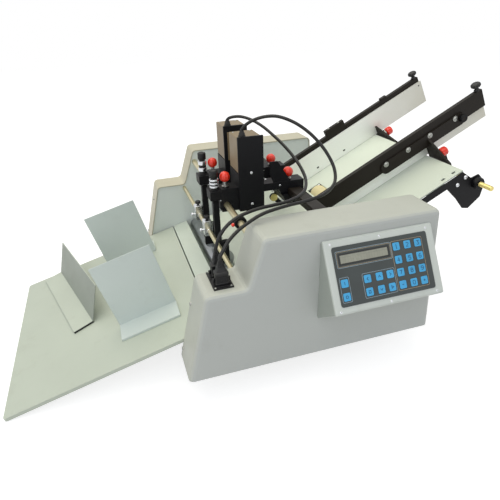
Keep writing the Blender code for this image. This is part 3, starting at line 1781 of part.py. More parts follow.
def keypad():
    """Membrane keypad stuck on the control box's face."""
    top, bottom = box_line()
    down = (bottom - top).normalized()
    out = Vector((down.y, -down.x))
    length = (bottom - top).length
    start, end = KEYPAD.top, length - KEYPAD.bottom
    corners = [
        top + down * start + out * GAP,
        top + down * end + out * GAP,
        top + down * end + out * (GAP + KEYPAD.thick),
        top + down * start + out * (GAP + KEYPAD.thick),
    ]
    outline = [tuple(corner) for corner in corners]
    left, right = BOX.left + KEYPAD.left, BOX.right - KEYPAD.right
    return swept("keypad_overlay", outline, left, right, "keypad_grey", lambda y, z, x: (x, y, z))


def socket_plate():
    """Plate on the near cover's step that holds both sockets."""
    low = step_top() + GAP
    x = COVER.left + PLUG.along
    outline = rectangle(x - SOCKETS.half_length, x + SOCKETS.half_length, low, low + SOCKETS.thick)
    front, back = cover_face() + SOCKETS.front_inset, cover_face() + SOCKETS.back_inset
    return across("socket_plate", outline, front, back, "black_plastic")


def plug(name, y):
    """A lead's plug, with its boot."""
    x, base = COVER.left + PLUG.along, step_top() + GAP + SOCKETS.thick + GAP
    corners = rectangle(x - PLUG.half_length, x + PLUG.half_length, base, base + PLUG.height)
    body = across(name, corners, y - PLUG.half_width, y + PLUG.half_width, "black_plastic")
    soften(body, PLUG.chamfer, 1)
    profile = [
        (0, PLUG.boot_radius),
        (OVERLAP + PLUG.boot_height / 2, PLUG.boot_radius),
        (OVERLAP + PLUG.boot_height, LEAD.radius + OVERLAP),
    ]
    foot = (x, y, base + PLUG.height - OVERLAP)
    return join(body, turned("boot", profile, foot, (0, 0, 1), "black_plastic", SMALL_SIDES))


def boot_top():
    """Height of the top of a plug's boot."""
    return step_top() + GAP + SOCKETS.thick + GAP + PLUG.height + PLUG.boot_height


def smooth_points(route, step):
    """Points about a step apart along a smooth curve through the route's points."""
    knots = [Vector(point) for point in route]
    padded = [knots[0] * 2 - knots[1], *knots, knots[-1] * 2 - knots[-2]]
    points = [knots[0]]
    for i in range(1, len(padded) - 2):
        p0, p1, p2, p3 = padded[i - 1 : i + 3]
        pieces = max(1, round((p2 - p1).length / step))
        for k in range(1, pieces + 1):
            t = k / pieces
            bend = 2 * p0 - 5 * p1 + 4 * p2 - p3
            twist = 3 * p1 - p0 - 3 * p2 + p3
            points.append((2 * p1 + (p2 - p0) * t + bend * t * t + twist * t * t * t) / 2)
    return points


def head_lead(name, route, gland, plug_y):
    """A head's lead, a round cable from its gland up and over to its plug on the step."""
    gland_x, gland_y = gland
    gland_z = head_top() - COIL_BOX.drop + COIL_BOX.gland_height + GAP
    x, top = COVER.left + PLUG.along, boot_top() + GAP
    first = (gland_x, gland_y, gland_z)
    last_up = (x, plug_y, top + LEAD.straight)
    last = (x, plug_y, top)
    points = smooth_points([first, *route, last_up, last], LEAD.step)
    curve = bpy.data.curves.new(name, "CURVE")
    curve.dimensions = "3D"
    curve.bevel_depth = LEAD.radius
    curve.bevel_resolution = LEAD_SIDES
    curve.use_fill_caps = True
    curve.render_resolution_u = 0
    line = curve.splines.new("POLY")
    line.points.add(len(points) - 1)
    for place, point in zip(line.points, points):
        place.co = (*point, 1)
    curve.materials.append(material("black_rubber"))
    lead = bpy.data.objects.new(name, curve)
    bpy.context.scene.collection.objects.link(lead)
    return lead


def feed_end_x(z):
    """World X of the covers' feed end at a height."""
    return COVER.right - COVER.feed_end_lean * (z - COVER.bottom) / COVER.top_height


def inlet_low():
    """Lower end of the mains inlet."""
    return COVER.bottom + INLET.rise


def rocker_z():
    """Height of the rocker switch's pivot: the middle of the inlet frame above the socket."""
    return inlet_low() + (INLET.socket_height + INLET.height) / 2


def inlet_middle():
    """World Y of the middle of the mains inlet."""
    return cover_face() + (INLET.front_inset + INLET.back_inset) / 2


def power_inlet():
    """Mains inlet and switch frame on the near cover's feed end."""
    low, lift = inlet_low(), INLET.thick
    high = low + INLET.height
    front, back = cover_face() + INLET.front_inset, cover_face() + INLET.back_inset
    outline = [
        (feed_end_x(low) + GAP, low),
        (feed_end_x(low) + GAP + lift, low),
        (feed_end_x(high) + GAP + lift, high),
        (feed_end_x(high) + GAP, high),
    ]
    frame = across("power_inlet", outline, front, back, "black_plastic")
    socket = rectangle(
        feed_end_x(low) + GAP + INLET.floor,
        feed_end_x(low) + lift + OVERRUN,
        low + INLET.lip,
        low + INLET.socket_height - INLET.lip,
    )
    cut(frame, across("socket", socket, front + INLET.lip, back - INLET.lip, "black_plastic"))
    half = ROCKER.half_length + ROCKER.clear
    window = rectangle(
        feed_end_x(low) - OVERRUN,
        feed_end_x(low) + lift + OVERRUN,
        rocker_z() - half,
        rocker_z() + half,
    )
    side = ROCKER.half_width + GAP
    return cut(
        frame, across("window", window, inlet_middle() - side, inlet_middle() + side, "black_plastic")
    )


def rocker_switch():
    """Rocker that tips either way in the inlet's frame."""
    z, middle = rocker_z(), inlet_middle()
    x = feed_end_x(z) + GAP + ROCKER.pivot
    outline = [
        (x - ROCKER.half_thick, z - ROCKER.half_length),
        (x + ROCKER.half_thick, z - ROCKER.half_length),
        (x + ROCKER.crown, z),
        (x + ROCKER.half_thick, z + ROCKER.half_length),
        (x - ROCKER.half_thick, z + ROCKER.half_length),
    ]
    half = ROCKER.half_width
    rocker = across("rocker_switch", outline, middle - half, middle + half, "black_plastic")
    return turn_about(rocker, (x, middle, z))


def controls():
    """Control box, sockets, plugs, leads and mains inlet."""
    control_box()
    keypad()
    socket_plate()
    front_y, rear_y = cover_face() + PLUG.front_inset, cover_face() + PLUG.rear_inset
    plug("front_plug", front_y)
    plug("rear_plug", rear_y)
    head_lead("front_lead", FRONT_LEAD_ROUTE, gland_place("front", HEAD.front_y), front_y)
    head_lead("rear_lead", REAR_LEAD_ROUTE, gland_place("rear", HEAD.rear_y), rear_y)
    power_inlet()
    rocker_switch()


def stand_over_origin():
    """Moves every piece so that the origin is under the middle of the footprint."""
    for piece in bpy.context.scene.objects:
        piece.location.x += STAND.x
        piece.location.y += STAND.y


def main():
    for thing in list(bpy.data.objects):
        bpy.data.objects.remove(thing)
    chassis()
    delivery()
    feed()
    drive()
    heads()
    controls()
    stand_over_origin()


main()
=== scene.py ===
"""Looks of a desktop scoring and perforating machine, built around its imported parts.

Metres, save where millimetres are named. +X runs along the feed, from the tray to the feed table,
+Y across the machine, +Z up.
"""

import json
import math

import bmesh
import bpy
from mathutils import Matrix, Vector


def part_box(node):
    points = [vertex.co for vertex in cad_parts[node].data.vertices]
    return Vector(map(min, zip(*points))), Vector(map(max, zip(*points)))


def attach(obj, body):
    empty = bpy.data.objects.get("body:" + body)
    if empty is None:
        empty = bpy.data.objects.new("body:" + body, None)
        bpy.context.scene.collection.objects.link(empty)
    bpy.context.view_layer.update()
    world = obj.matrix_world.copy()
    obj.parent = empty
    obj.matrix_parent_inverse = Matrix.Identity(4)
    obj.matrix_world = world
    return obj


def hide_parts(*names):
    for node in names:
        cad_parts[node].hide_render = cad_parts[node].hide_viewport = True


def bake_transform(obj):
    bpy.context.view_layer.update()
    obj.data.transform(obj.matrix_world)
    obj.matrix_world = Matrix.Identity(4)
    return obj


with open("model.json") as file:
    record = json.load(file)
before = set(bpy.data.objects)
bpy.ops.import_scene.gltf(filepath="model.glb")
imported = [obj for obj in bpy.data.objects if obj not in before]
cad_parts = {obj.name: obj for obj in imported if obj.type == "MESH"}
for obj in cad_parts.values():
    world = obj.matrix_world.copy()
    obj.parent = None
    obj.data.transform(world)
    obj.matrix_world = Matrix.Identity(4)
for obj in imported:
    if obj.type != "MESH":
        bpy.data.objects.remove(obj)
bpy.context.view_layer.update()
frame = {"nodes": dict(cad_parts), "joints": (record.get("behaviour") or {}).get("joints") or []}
NODES = frame["nodes"]
HINGES = {joint["name"]: Vector(joint["pos_m"]) for joint in frame["joints"] if joint.get("pos_m")}
MM = 0.001


def mm(*rows):
    """Rows of numbers given in millimetres, in metres."""
    return [tuple(number * MM for number in row) for row in rows]


UP, LEFT, RIGHT, FRONT, BACK = (0, 0, 1), (-1, 0, 0), (1, 0, 0), (0, -1, 0), (0, 1, 0)

# Where the middle between the side covers stands from the origin
STAND = Vector((0.0324, 0.0279, 0.0))

# Slopes, with X and Z where each starts
TRAY_SLOPE = math.radians(15.0)
TRAY_START = (-0.5411, 0.0066 * math.cos(TRAY_SLOPE))
TABLE_SLOPE = math.radians(27.0)
TABLE_START = (0.0, 0.151)
TABLE_AHEAD = Vector((math.cos(TABLE_SLOPE), 0.0, math.sin(TABLE_SLOPE)))
TABLE_UP = Vector((-math.sin(TABLE_SLOPE), 0.0, math.cos(TABLE_SLOPE)))

# Side covers' ends, and the screws in them: across and up
COVER_LEFT = -0.23
COVER_RIGHT = 0.2355
COVER_LOW = 0.06
TRAY_END_LEAN = 0.0387 / 0.1591
FEED_END_LEAN = 0.0126 / 0.2424
TRAY_END_SCREWS = ((-0.231, 0.1673), (-0.231, 0.0763), (0.2646, 0.1778), (0.2858, 0.0829))
FEED_END_SCREWS = ((-0.234, 0.08), (-0.234, 0.27), (0.24, 0.08), (0.24, 0.27))
COVER_SCREW = 3.6

# Heads: their low front left corners and heights, and the rods that they and the clamps slide on
HEAD_LEFT = -0.067
HEAD_SIDES = (("front", -0.085), ("rear", 0.015))
HEAD_LOW = 0.258
HEAD_TOP = 0.403
COIL_LOW = 0.3332
COIL_TOP = 0.4005
GLAND = (-0.055, 0.01045)
HEAD_ROD = (-0.092, 0.274)
EXIT_ROD_X = -0.124
EXIT_ROD_Z = 0.2095
CLAMP_SIDES = (("front", -0.042), ("rear", 0.045))

# Screws in each head, in mm from its low front left corner: way out, radius, turn in degrees
HEAD_SCREWS = (
    (25.0, 0.0, 13.0, FRONT, 3.0, 15),
    (25.0, 0.0, 76.0, FRONT, 3.0, 45),
    (14.0, 62.0, 13.0, BACK, 2.8, 0),
    (36.0, 62.0, 13.0, BACK, 2.8, 40),
    (14.0, 62.0, 62.0, BACK, 2.8, 25),
    (36.0, 62.0, 62.0, BACK, 2.8, 65),
    (-16.5, 34.5, 45.0, UP, 2.6, 50),
    (64.0, 32.5, 47.1, UP, 2.6, 50),
    (86.0, 8.0, 40.1, FRONT, 2.4, 10),
    (-34.5, 14.0, 24.0, LEFT, 2.6, 12),
    (-34.5, 32.0, 24.0, LEFT, 2.6, 12),
)
COIL_SCREWS = ((7.0, 10.0), (41.0, 10.0), (7.0, 54.0), (41.0, 54.0))

# Knobs' radii in mm
BALL = 10.4
WING = 10.0

# Feed guides: faces across the machine, then what is on them, along and above the table
FAR_PLATE = 0.102
FAR_BACK = 0.1145
STRAP_FACE = -0.1092
STRAP_HEIGHT = 0.045
STRAP_BOLTS = (0.2888, 0.3428, 0.396, 0.4582)
THUMB_NUT = (0.4718, 0.039)
GUIDE_HOLES = mm((161.6, 12.5, 3.2, 1.9), (217.5, 12.5, 3.2, 1.9), (294.6, 12.5, 3.2, 1.9), (526.7, 47.5, 1.8, 1.8))
BRACKET_FACE = -0.2082
BRACKET_SCREWS = ((0.363, -0.02), (0.383, -0.015))

# Feed wheel and slots along the table, how deep what lies under them is, and the gate's feeler
WHEEL_ALONG = 0.175
WELL_DEPTH = 0.006
TABLE_SLOTS = (0.346, 0.37)
TABLE_SLOT_Y = -0.195
PLUG_DEPTH = 0.0027
FEELER = (0.03, -0.013, 0.2476)

# End stop: its place along and across the tray, its turn, its foot and the magnet under that
STOP_ALONG = 0.126
STOP_Y = 0.0865
STOP_TURN = math.radians(16.0)
STOP_HALF = 0.145
STOP_FOOT = 0.043
STOP_MAGNET = 0.0038

# Control box: Y and Z of its face's two edges, then X from its left side and the way down the face
BOX_TOP_EDGE = Vector((-0.3078, 0.2812))
BOX_BOTTOM_EDGE = Vector((-0.366, 0.1795))
FILM = (0.013, 0.1869, 0.0098, 0.1057)
FILM_CORNER = 0.004
FILM_LOW = 0.0003
FILM_TOP = 0.0011
PRINT_RISE = 0.00008
KEY_HALF = (0.0064, 0.0066)
KEY_CORNER = 0.0022
KEY_RISE = 0.0005
KEY_EDGE = 0.0004
KEY_RIM = 0.0005
MARK_UNIT = 0.00105
MARK_WIDTH = 0.0011
NUMBER_KEYS = ("123", "456", "789", "-0+")
NUMBER_KEY_X = (0.1271, 0.1478, 0.1677)
NUMBER_KEY_ROWS = (0.0265, 0.0484, 0.0692, 0.0896)
MOVE_KEYS = (("left", "stop"), ("up", "down"), ("right", "start"))
MOVE_KEY_X = (0.0658, 0.0872, 0.1072)
MOVE_KEY_ROWS = (0.0686, 0.0898)
POWER_KEY_X = 0.0251
POWER_KEY_ROWS = (0.0688, 0.0905)
LINE_WIDTH = 0.0007
LINE_CORNER = 0.002
TAN_BOXES = mm((118.2, 176.0, 17.5, 98.5), (19.5, 115.5, 19.0, 42.6))
PALE_BOXES = mm((57.2, 115.6, 59.4, 99.0), (17.0, 33.2, 59.4, 99.0), (18.0, 117.0, 17.5, 44.1))
DISPLAY = (0.0218, 0.1132, 0.0215, 0.0402)
DISPLAY_CORNER = 0.0014
DISPLAY_RIM_X = 0.003
DISPLAY_RIM_Y = 0.0028
DISPLAY_RISE = 0.0006
PANEL_SCREW = 2.6
PANEL_SCREW_SUNK = 0.0013
PANEL_SCREWS = mm((12.8, 4.6), (100.9, 4.6), (188.4, 4.9), (189.0, 111.5), (102.0, 112.2), (11.0, 112.5))

# The keys' signs, as strokes on a grid 4 wide and 6 high
SIGNS = {
    "0": [[(1, 0), (3, 0), (4, 1), (4, 5), (3, 6), (1, 6), (0, 5), (0, 1), (1, 0)]],
    "1": [[(1, 5), (2, 6), (2, 0)], [(1, 0), (3, 0)]],
    "2": [[(0, 5), (1, 6), (3, 6), (4, 5), (4, 4), (0, 0), (4, 0)]],
    "3": [[(0, 6), (4, 6), (2, 3.6), (4, 2.4), (4, 1), (3, 0), (1, 0), (0, 1)]],
    "4": [[(3, 0), (3, 6), (0, 2), (4, 2)]],
    "5": [[(4, 6), (0, 6), (0, 3.4), (3, 3.6), (4, 2.6), (4, 1), (3, 0), (0, 0)]],
    "6": [[(4, 6), (1.6, 6), (0, 4), (0, 1), (1, 0), (3, 0), (4, 1), (4, 2.4), (3, 3.4), (0, 3)]],
    "7": [[(0, 6), (4, 6), (1.4, 0)]],
    "8": [
        [(1, 3.2), (0, 4.2), (0, 5), (1, 6), (3, 6), (4, 5), (4, 4.2), (3, 3.2), (1, 3.2)],
        [(1, 3.2), (0, 2.2), (0, 1), (1, 0), (3, 0), (4, 1), (4, 2.2), (3, 3.2)],
    ],
    "9": [[(0, 0), (2.4, 0), (4, 2), (4, 5), (3, 6), (1, 6), (0, 5), (0, 3.8), (1, 2.8), (4, 3)]],
    "-": [[(0.4, 3), (3.6, 3)]],
    "+": [[(0.2, 3), (3.8, 3)], [(2, 1.2), (2, 4.8)]],
    "left": [[(3.4, 0.6), (0.6, 3), (3.4, 5.4)]],
    "right": [[(0.6, 0.6), (3.4, 3), (0.6, 5.4)]],
    "up": [[(0, 1.6), (2, 4.6), (4, 1.6)]],
    "down": [[(0, 4.4), (2, 1.4), (4, 4.4)]],
    "stop": [[(0.4, 1), (3.6, 1), (3.6, 5), (0.4, 5), (0.4, 1)]],
    "start": [[(0.6, 0.8), (3.8, 3), (0.6, 5.2), (0.6, 0.8)]],
    "on": [[(2, 0.6), (2, 5.4)]],
    "off": [[(1.2, 1), (2.8, 1), (3.8, 2.2), (3.8, 3.8), (2.8, 5), (1.2, 5), (0.2, 3.8), (0.2, 2.2), (1.2, 1)]],
}

# Plugs across the machine, and the leads over to them from each gland
PLUG_SIDES = (("front", -0.2715), ("rear", -0.244))
LEAD_RADIUS = 0.003
LEAD_STEP = 0.004
LEADS = {
    "front_lead": mm(
        (-55.0, -74.45, 408.3), (-55.0, -75.0, 414.0), (-48.5, -78.5, 423.0), (-33.0, -85.0, 432.5),
        (-13.0, -92.0, 437.5), (7.0, -100.0, 437.0), (28.5, -111.0, 429.0), (47.5, -122.0, 416.5),
        (65.0, -134.0, 399.5), (81.0, -149.0, 376.0), (89.5, -166.0, 350.0), (81.0, -186.0, 330.0),
        (52.0, -206.0, 320.0), (8.0, -222.0, 319.0), (-23.0, -229.0, 319.5), (-52.0, -235.0, 318.5),
        (-76.0, -240.0, 315.5), (-98.0, -246.0, 309.0), (-120.0, -253.0, 300.0), (-138.0, -261.0, 289.0),
        (-150.0, -268.0, 277.0), (-156.5, -271.5, 268.9), (-156.5, -271.5, 262.9),
    ),
    "rear_lead": mm(
        (-55.0, 25.55, 408.3), (-55.0, 25.0, 414.0), (-47.0, 19.0, 419.0), (-31.0, 8.0, 420.5),
        (-13.0, -7.0, 415.0), (3.0, -26.0, 404.5), (15.5, -46.0, 392.0), (26.2, -68.0, 379.0),
        (36.2, -92.0, 363.5), (43.0, -122.0, 345.0), (39.0, -156.0, 330.0), (19.0, -190.0, 322.0),
        (-15.0, -214.0, 321.0), (-46.0, -222.0, 321.0), (-70.0, -225.0, 320.5), (-92.0, -228.5, 318.5),
        (-115.0, -232.0, 313.0), (-135.0, -236.0, 302.0), (-149.0, -240.0, 286.0), (-156.5, -244.0, 268.9),
        (-156.5, -244.0, 262.9),
    ),
}

# The photograph's camera
CAMERA_PLACE = Vector((-0.2934, -0.8846, 0.6088))
CAMERA_YAW_DEG = 16.9125
CAMERA_PITCH_DEG = 27.7157
CAMERA_ROLL_DEG = -2.041
FOCAL_PX = 457.72
FRAME_PX = 500
SENSOR_MM = 36.0


# Places and outlines


def at(x, y, z):
    """A point given from the middle between the side covers."""
    return Vector((x, y, z)) + STAND


def on_slope(start, slope, along, y, height):
    """A point along a slope that begins at start, and above it."""
    x = start[0] + along * math.cos(slope) - height * math.sin(slope)
    return at(x, y, start[1] + along * math.sin(slope) + height * math.cos(slope))


def on_tray(along, y, height):
    """A point along the tray from its outer end, and above its top face."""
    return on_slope(TRAY_START, TRAY_SLOPE, along, y, height)


def on_table(along, y, height):
    """A point along the feed table from X = 0, and above its top face."""
    return on_slope(TABLE_START, TABLE_SLOPE, along, y, height)


def on_panel(x, up, out):
    """A point on the control box's sloping face, up from its top edge (so below 0), and away from it."""
    way = (BOX_BOTTOM_EDGE - BOX_TOP_EDGE).normalized()
    place = BOX_TOP_EDGE - way * up + Vector((way.y, -way.x)) * out
    return at(x, place.x, place.y)


def rounded(left, right, low, high, radius, steps=4):
    """A rectangle with round corners, anticlockwise."""
    outline = []
    for x, y, start in (
        (right - radius, low + radius, -90),
        (right - radius, high - radius, 0),
        (left + radius, high - radius, 90),
        (left + radius, low + radius, 180),
    ):
        for i in range(steps + 1):
            turn = math.radians(start + 90 * i / steps)
            outline.append((x + radius * math.cos(turn), y + radius * math.sin(turn)))
    return outline


def panel_outline(box, corner):
    """A round-cornered box on the control box's face, given as left, right, top, bottom."""
    left, right, top, bottom = box
    return rounded(left, right, -bottom, -top, corner)


def inset(corners, distance):
    """An anticlockwise outline moved inwards by the same distance on every side."""
    moved = []
    for i, corner in enumerate(corners):
        here = Vector(corner)
        into = (here - Vector(corners[i - 1])).normalized()
        out = (Vector(corners[(i + 1) % len(corners)]) - here).normalized()
        normal = Vector((-into.y, into.x))
        middle = (normal + Vector((-out.y, out.x))).normalized()
        moved.append(tuple(here + middle * (distance / middle.dot(normal))))
    return moved


# Materials


def linear(code, share=1.0):
    """A colour written as six hex digits, as scene-linear values, lighter where share is over 1."""
    values = []
    for i in (0, 2, 4):
        level = int(code[i : i + 2], 16) / 255
        level = level / 12.92 if level <= 0.04045 else ((level + 0.055) / 1.055) ** 2.4
        values.append(min(1.0, level * share))
    return (*values, 1.0)


def add_node(tree, kind, inputs=None, **settings):
    """Adds a node, its inputs given as values or as other nodes' outputs."""
    made = tree.nodes.new(kind)
    for key, value in settings.items():
        setattr(made, key, value)
    for key, value in (inputs or {}).items():
        if isinstance(value, bpy.types.NodeSocket):
            tree.links.new(value, made.inputs[key])
        else:
            made.inputs[key].default_value = value
    return made


class Look:
    """A node material under construction."""

    def __init__(self, name, colour, roughness, metallic=0.0, **fixed):
        self.material = bpy.data.materials.new(name)
        self.material.use_nodes = True
        self.material.diffuse_color = linear(colour)
        self.tree = self.material.node_tree
        self.shader = self.tree.nodes["Principled BSDF"]
        fixed |= {"Base_Color": linear(colour), "Roughness": roughness, "Metallic": metallic}
        for socket, value in fixed.items():
            self.shader.inputs[socket.replace("_", " ")].default_value = value
        self.place = self.node("ShaderNodeTexCoord").outputs["Object"]

    def node(self, kind, inputs=None, **settings):
        """Adds a node to the material."""
        return add_node(self.tree, kind, inputs, **settings)

    def part(self, vector, axis):
        """One axis of a vector."""
        return self.node("ShaderNodeSeparateXYZ", {0: vector}).outputs[axis]

    def noise(self, scale, detail=2.0, roughness=0.5, stretch=None):
        """Noise from 0 to 1, drawn out along each axis by stretch."""
        place = self.place
        if stretch:
            place = self.node("ShaderNodeMapping", {"Vector": place, "Scale": stretch}).outputs["Vector"]
        inputs = {"Vector": place, "Scale": scale, "Detail": detail, "Roughness": roughness}
        return self.node("ShaderNodeTexNoise", inputs).outputs["Fac"]

    def spread(self, value, low, high, to_low=0.0, to_high=1.0):
        """Maps low..high to to_low..to_high, and holds it there."""
        inputs = {"Value": value, "From Min": low, "From Max": high, "To Min": to_low, "To Max": to_high}
        return self.node("ShaderNodeMapRange", inputs, clamp=True).outputs["Result"]

    def maths(self, operation, first, second):
        """Arithmetic on two values."""
        return self.node("ShaderNodeMath", {0: first, 1: second}, operation=operation).outputs["Value"]

    def mix(self, share, first, second):
        """Mixes two colours: A and B are the colour form's sockets 6 and 7, its result is 2."""
        return self.node("ShaderNodeMix", {0: share, 6: first, 7: second}, data_type="RGBA").outputs[2]

    def edges(self, radius):
        """1 on sharp edges, 0 on flat faces, with the normal that rounds the edges."""
        soft = self.node("ShaderNodeBevel", {"Radius": radius}, samples=4).outputs["Normal"]
        flat = self.node("ShaderNodeNewGeometry").outputs["Normal"]
        dot = self.node("ShaderNodeVectorMath", {0: soft, 1: flat}, operation="DOT_PRODUCT")
        return self.spread(dot.outputs["Value"], 0.8, 0.99, 1.0, 0.0), soft

    def finish(self, colour, roughness, relief=None, strength=0.0, depth=0.0, normal=None):
        """Links the surface's colour, roughness and fine relief, and gives the material."""
        self.tree.links.new(colour, self.shader.inputs["Base Color"])
        self.tree.links.new(roughness, self.shader.inputs["Roughness"])
        if relief:
            inputs = {"Height": relief, "Strength": strength, "Distance": depth}
            if normal:
                inputs["Normal"] = normal
            bump = self.node("ShaderNodeBump", inputs)
            self.tree.links.new(bump.outputs["Normal"], self.shader.inputs["Normal"])
        return self.material


def paint(name, colour, roughness, dust="8d8a7c", bright=1.12, peel=0.25, edge=0.0012, turn=None, **fixed):
    """Powder coat: orange peel, faint mottling, dull dust and edges rubbed bright.

    turn paints light and shade: another tone on one side, by where a face looks or lies, on which axis, from low to
    high.
    """
    look = Look(name, colour, roughness, **fixed)
    mottle = look.noise(7.0, 4.0, 0.55)
    base = look.mix(look.spread(mottle, 0.3, 0.7), linear(colour, 0.955), linear(colour, 1.03))
    # Painted light and shade: the side that turn picks takes another tone
    if turn:
        by, axis, low, high, other = turn
        vector = look.place if by == "place" else look.node("ShaderNodeTexCoord").outputs["Normal"]
        base = look.mix(look.spread(look.part(vector, axis), low, high), linear(other), base)
    grain = look.spread(look.noise(950.0, 1.0), 0.25, 0.75, 0.0, 0.1)
    base = look.mix(grain, base, linear(colour, 0.8))
    smudge = look.noise(19.0, 6.0, 0.65)
    base = look.mix(look.spread(smudge, 0.58, 0.8, 0.0, 0.16), base, linear(dust))
    rim, soft = look.edges(edge)
    worn = look.maths("MULTIPLY", rim, look.spread(look.noise(60.0, 4.0), 0.35, 0.65, 0.25, 0.8))
    base = look.mix(worn, base, linear(colour, bright))
    rough = look.spread(smudge, 0.3, 0.7, roughness - 0.04, roughness + 0.08)
    return look.finish(base, rough, look.noise(620.0, 2.0), peel, 0.0004, soft)


def metal(name, colour, roughness, stain, along=(1.0, 1.0, 1.0)):
    """Drawn or ground metal: fine lines along the piece, faint stains, bright edges."""
    look = Look(name, colour, roughness, 1.0)
    lines = look.noise(700.0, 3.0, 0.6, along)
    base = look.mix(look.spread(lines, 0.3, 0.7), linear(colour, 0.86), linear(colour, 1.08))
    stains = look.noise(45.0, 5.0, 0.6)
    base = look.mix(look.spread(stains, 0.6, 0.85, 0.0, 0.35), base, linear(stain))
    rim, soft = look.edges(0.0008)
    base = look.mix(look.maths("MULTIPLY", rim, 0.6), base, linear(colour, 1.25))
    rough = look.spread(lines, 0.25, 0.75, roughness - 0.06, roughness + 0.1)
    return look.finish(base, rough, lines, 0.12, 0.0002, soft)


def graded_metal(name, colour, far_colour, start, end, along):
    """Drawn metal that turns from one colour to another along X, darker towards its far end."""
    look = Look(name, colour, 0.38, 0.25)
    lines = look.noise(700.0, 3.0, 0.6, along)
    waver = look.spread(look.noise(9.0, 3.0), 0.2, 0.8, -0.04, 0.04)
    share = look.spread(look.maths("ADD", look.part(look.place, "X"), waver), start, end)
    base = look.mix(share, linear(colour), linear(far_colour))
    base = look.mix(look.spread(lines, 0.3, 0.7, 0.0, 0.1), base, linear(far_colour, 0.6))
    rim, soft = look.edges(0.0008)
    base = look.mix(look.maths("MULTIPLY", rim, 0.5), base, linear(colour, 1.15))
    return look.finish(base, look.spread(lines, 0.25, 0.75, 0.34, 0.48), lines, 0.12, 0.0002, soft)


def plastic(name, colour, roughness, grain=1400.0, depth=0.2, **fixed):
    """Moulded plastic: fine spark texture, faint flow marks, paler rubbed edges."""
    look = Look(name, colour, roughness, **fixed)
    flow = look.noise(30.0, 3.0)
    base = look.mix(look.spread(flow, 0.3, 0.7), linear(colour, 0.9), linear(colour, 1.08))
    rim, soft = look.edges(0.0006)
    base = look.mix(look.maths("MULTIPLY", rim, 0.35), base, linear(colour, 1.6))
    rough = look.spread(flow, 0.3, 0.7, roughness - 0.05, roughness + 0.07)
    return look.finish(base, rough, look.noise(grain, 2.0), depth, 0.0002, soft)


def rubber(name, colour, roughness, grain=500.0, dust="77736a"):
    """Rubber: dull, with paper dust and a pebbled skin."""
    look = Look(name, colour, roughness)
    dirt = look.noise(80.0, 6.0, 0.7)
    base = look.mix(look.spread(dirt, 0.55, 0.8, 0.0, 0.3), linear(colour), linear(dust))
    rough = look.spread(dirt, 0.3, 0.7, roughness - 0.08, roughness + 0.08)
    return look.finish(base, rough, look.noise(grain, 3.0), 0.35, 0.0003)


def glass(name):
    """The display's window: greenish grey crystal behind clear film."""
    look = Look(name, "8f8f81", 0.3, Coat_Weight=0.3, Coat_Roughness=0.2)
    inputs = {"Vector": look.place, "Scale": 190.0, "Mortar Size": 0.03, "Brick Width": 0.9, "Row Height": 1.4}
    inputs |= {"Color1": linear("939385"), "Color2": linear("8d8d7f"), "Mortar": linear("7f8176")}
    cells = look.node("ShaderNodeTexBrick", inputs, offset=0.0).outputs["Color"]
    cloud = look.noise(40.0, 2.0)
    base = look.mix(look.spread(cloud, 0.3, 0.7, 0.0, 0.4), cells, linear("9a9a8d"))
    return look.finish(base, look.spread(cloud, 0.3, 0.7, 0.16, 0.3))


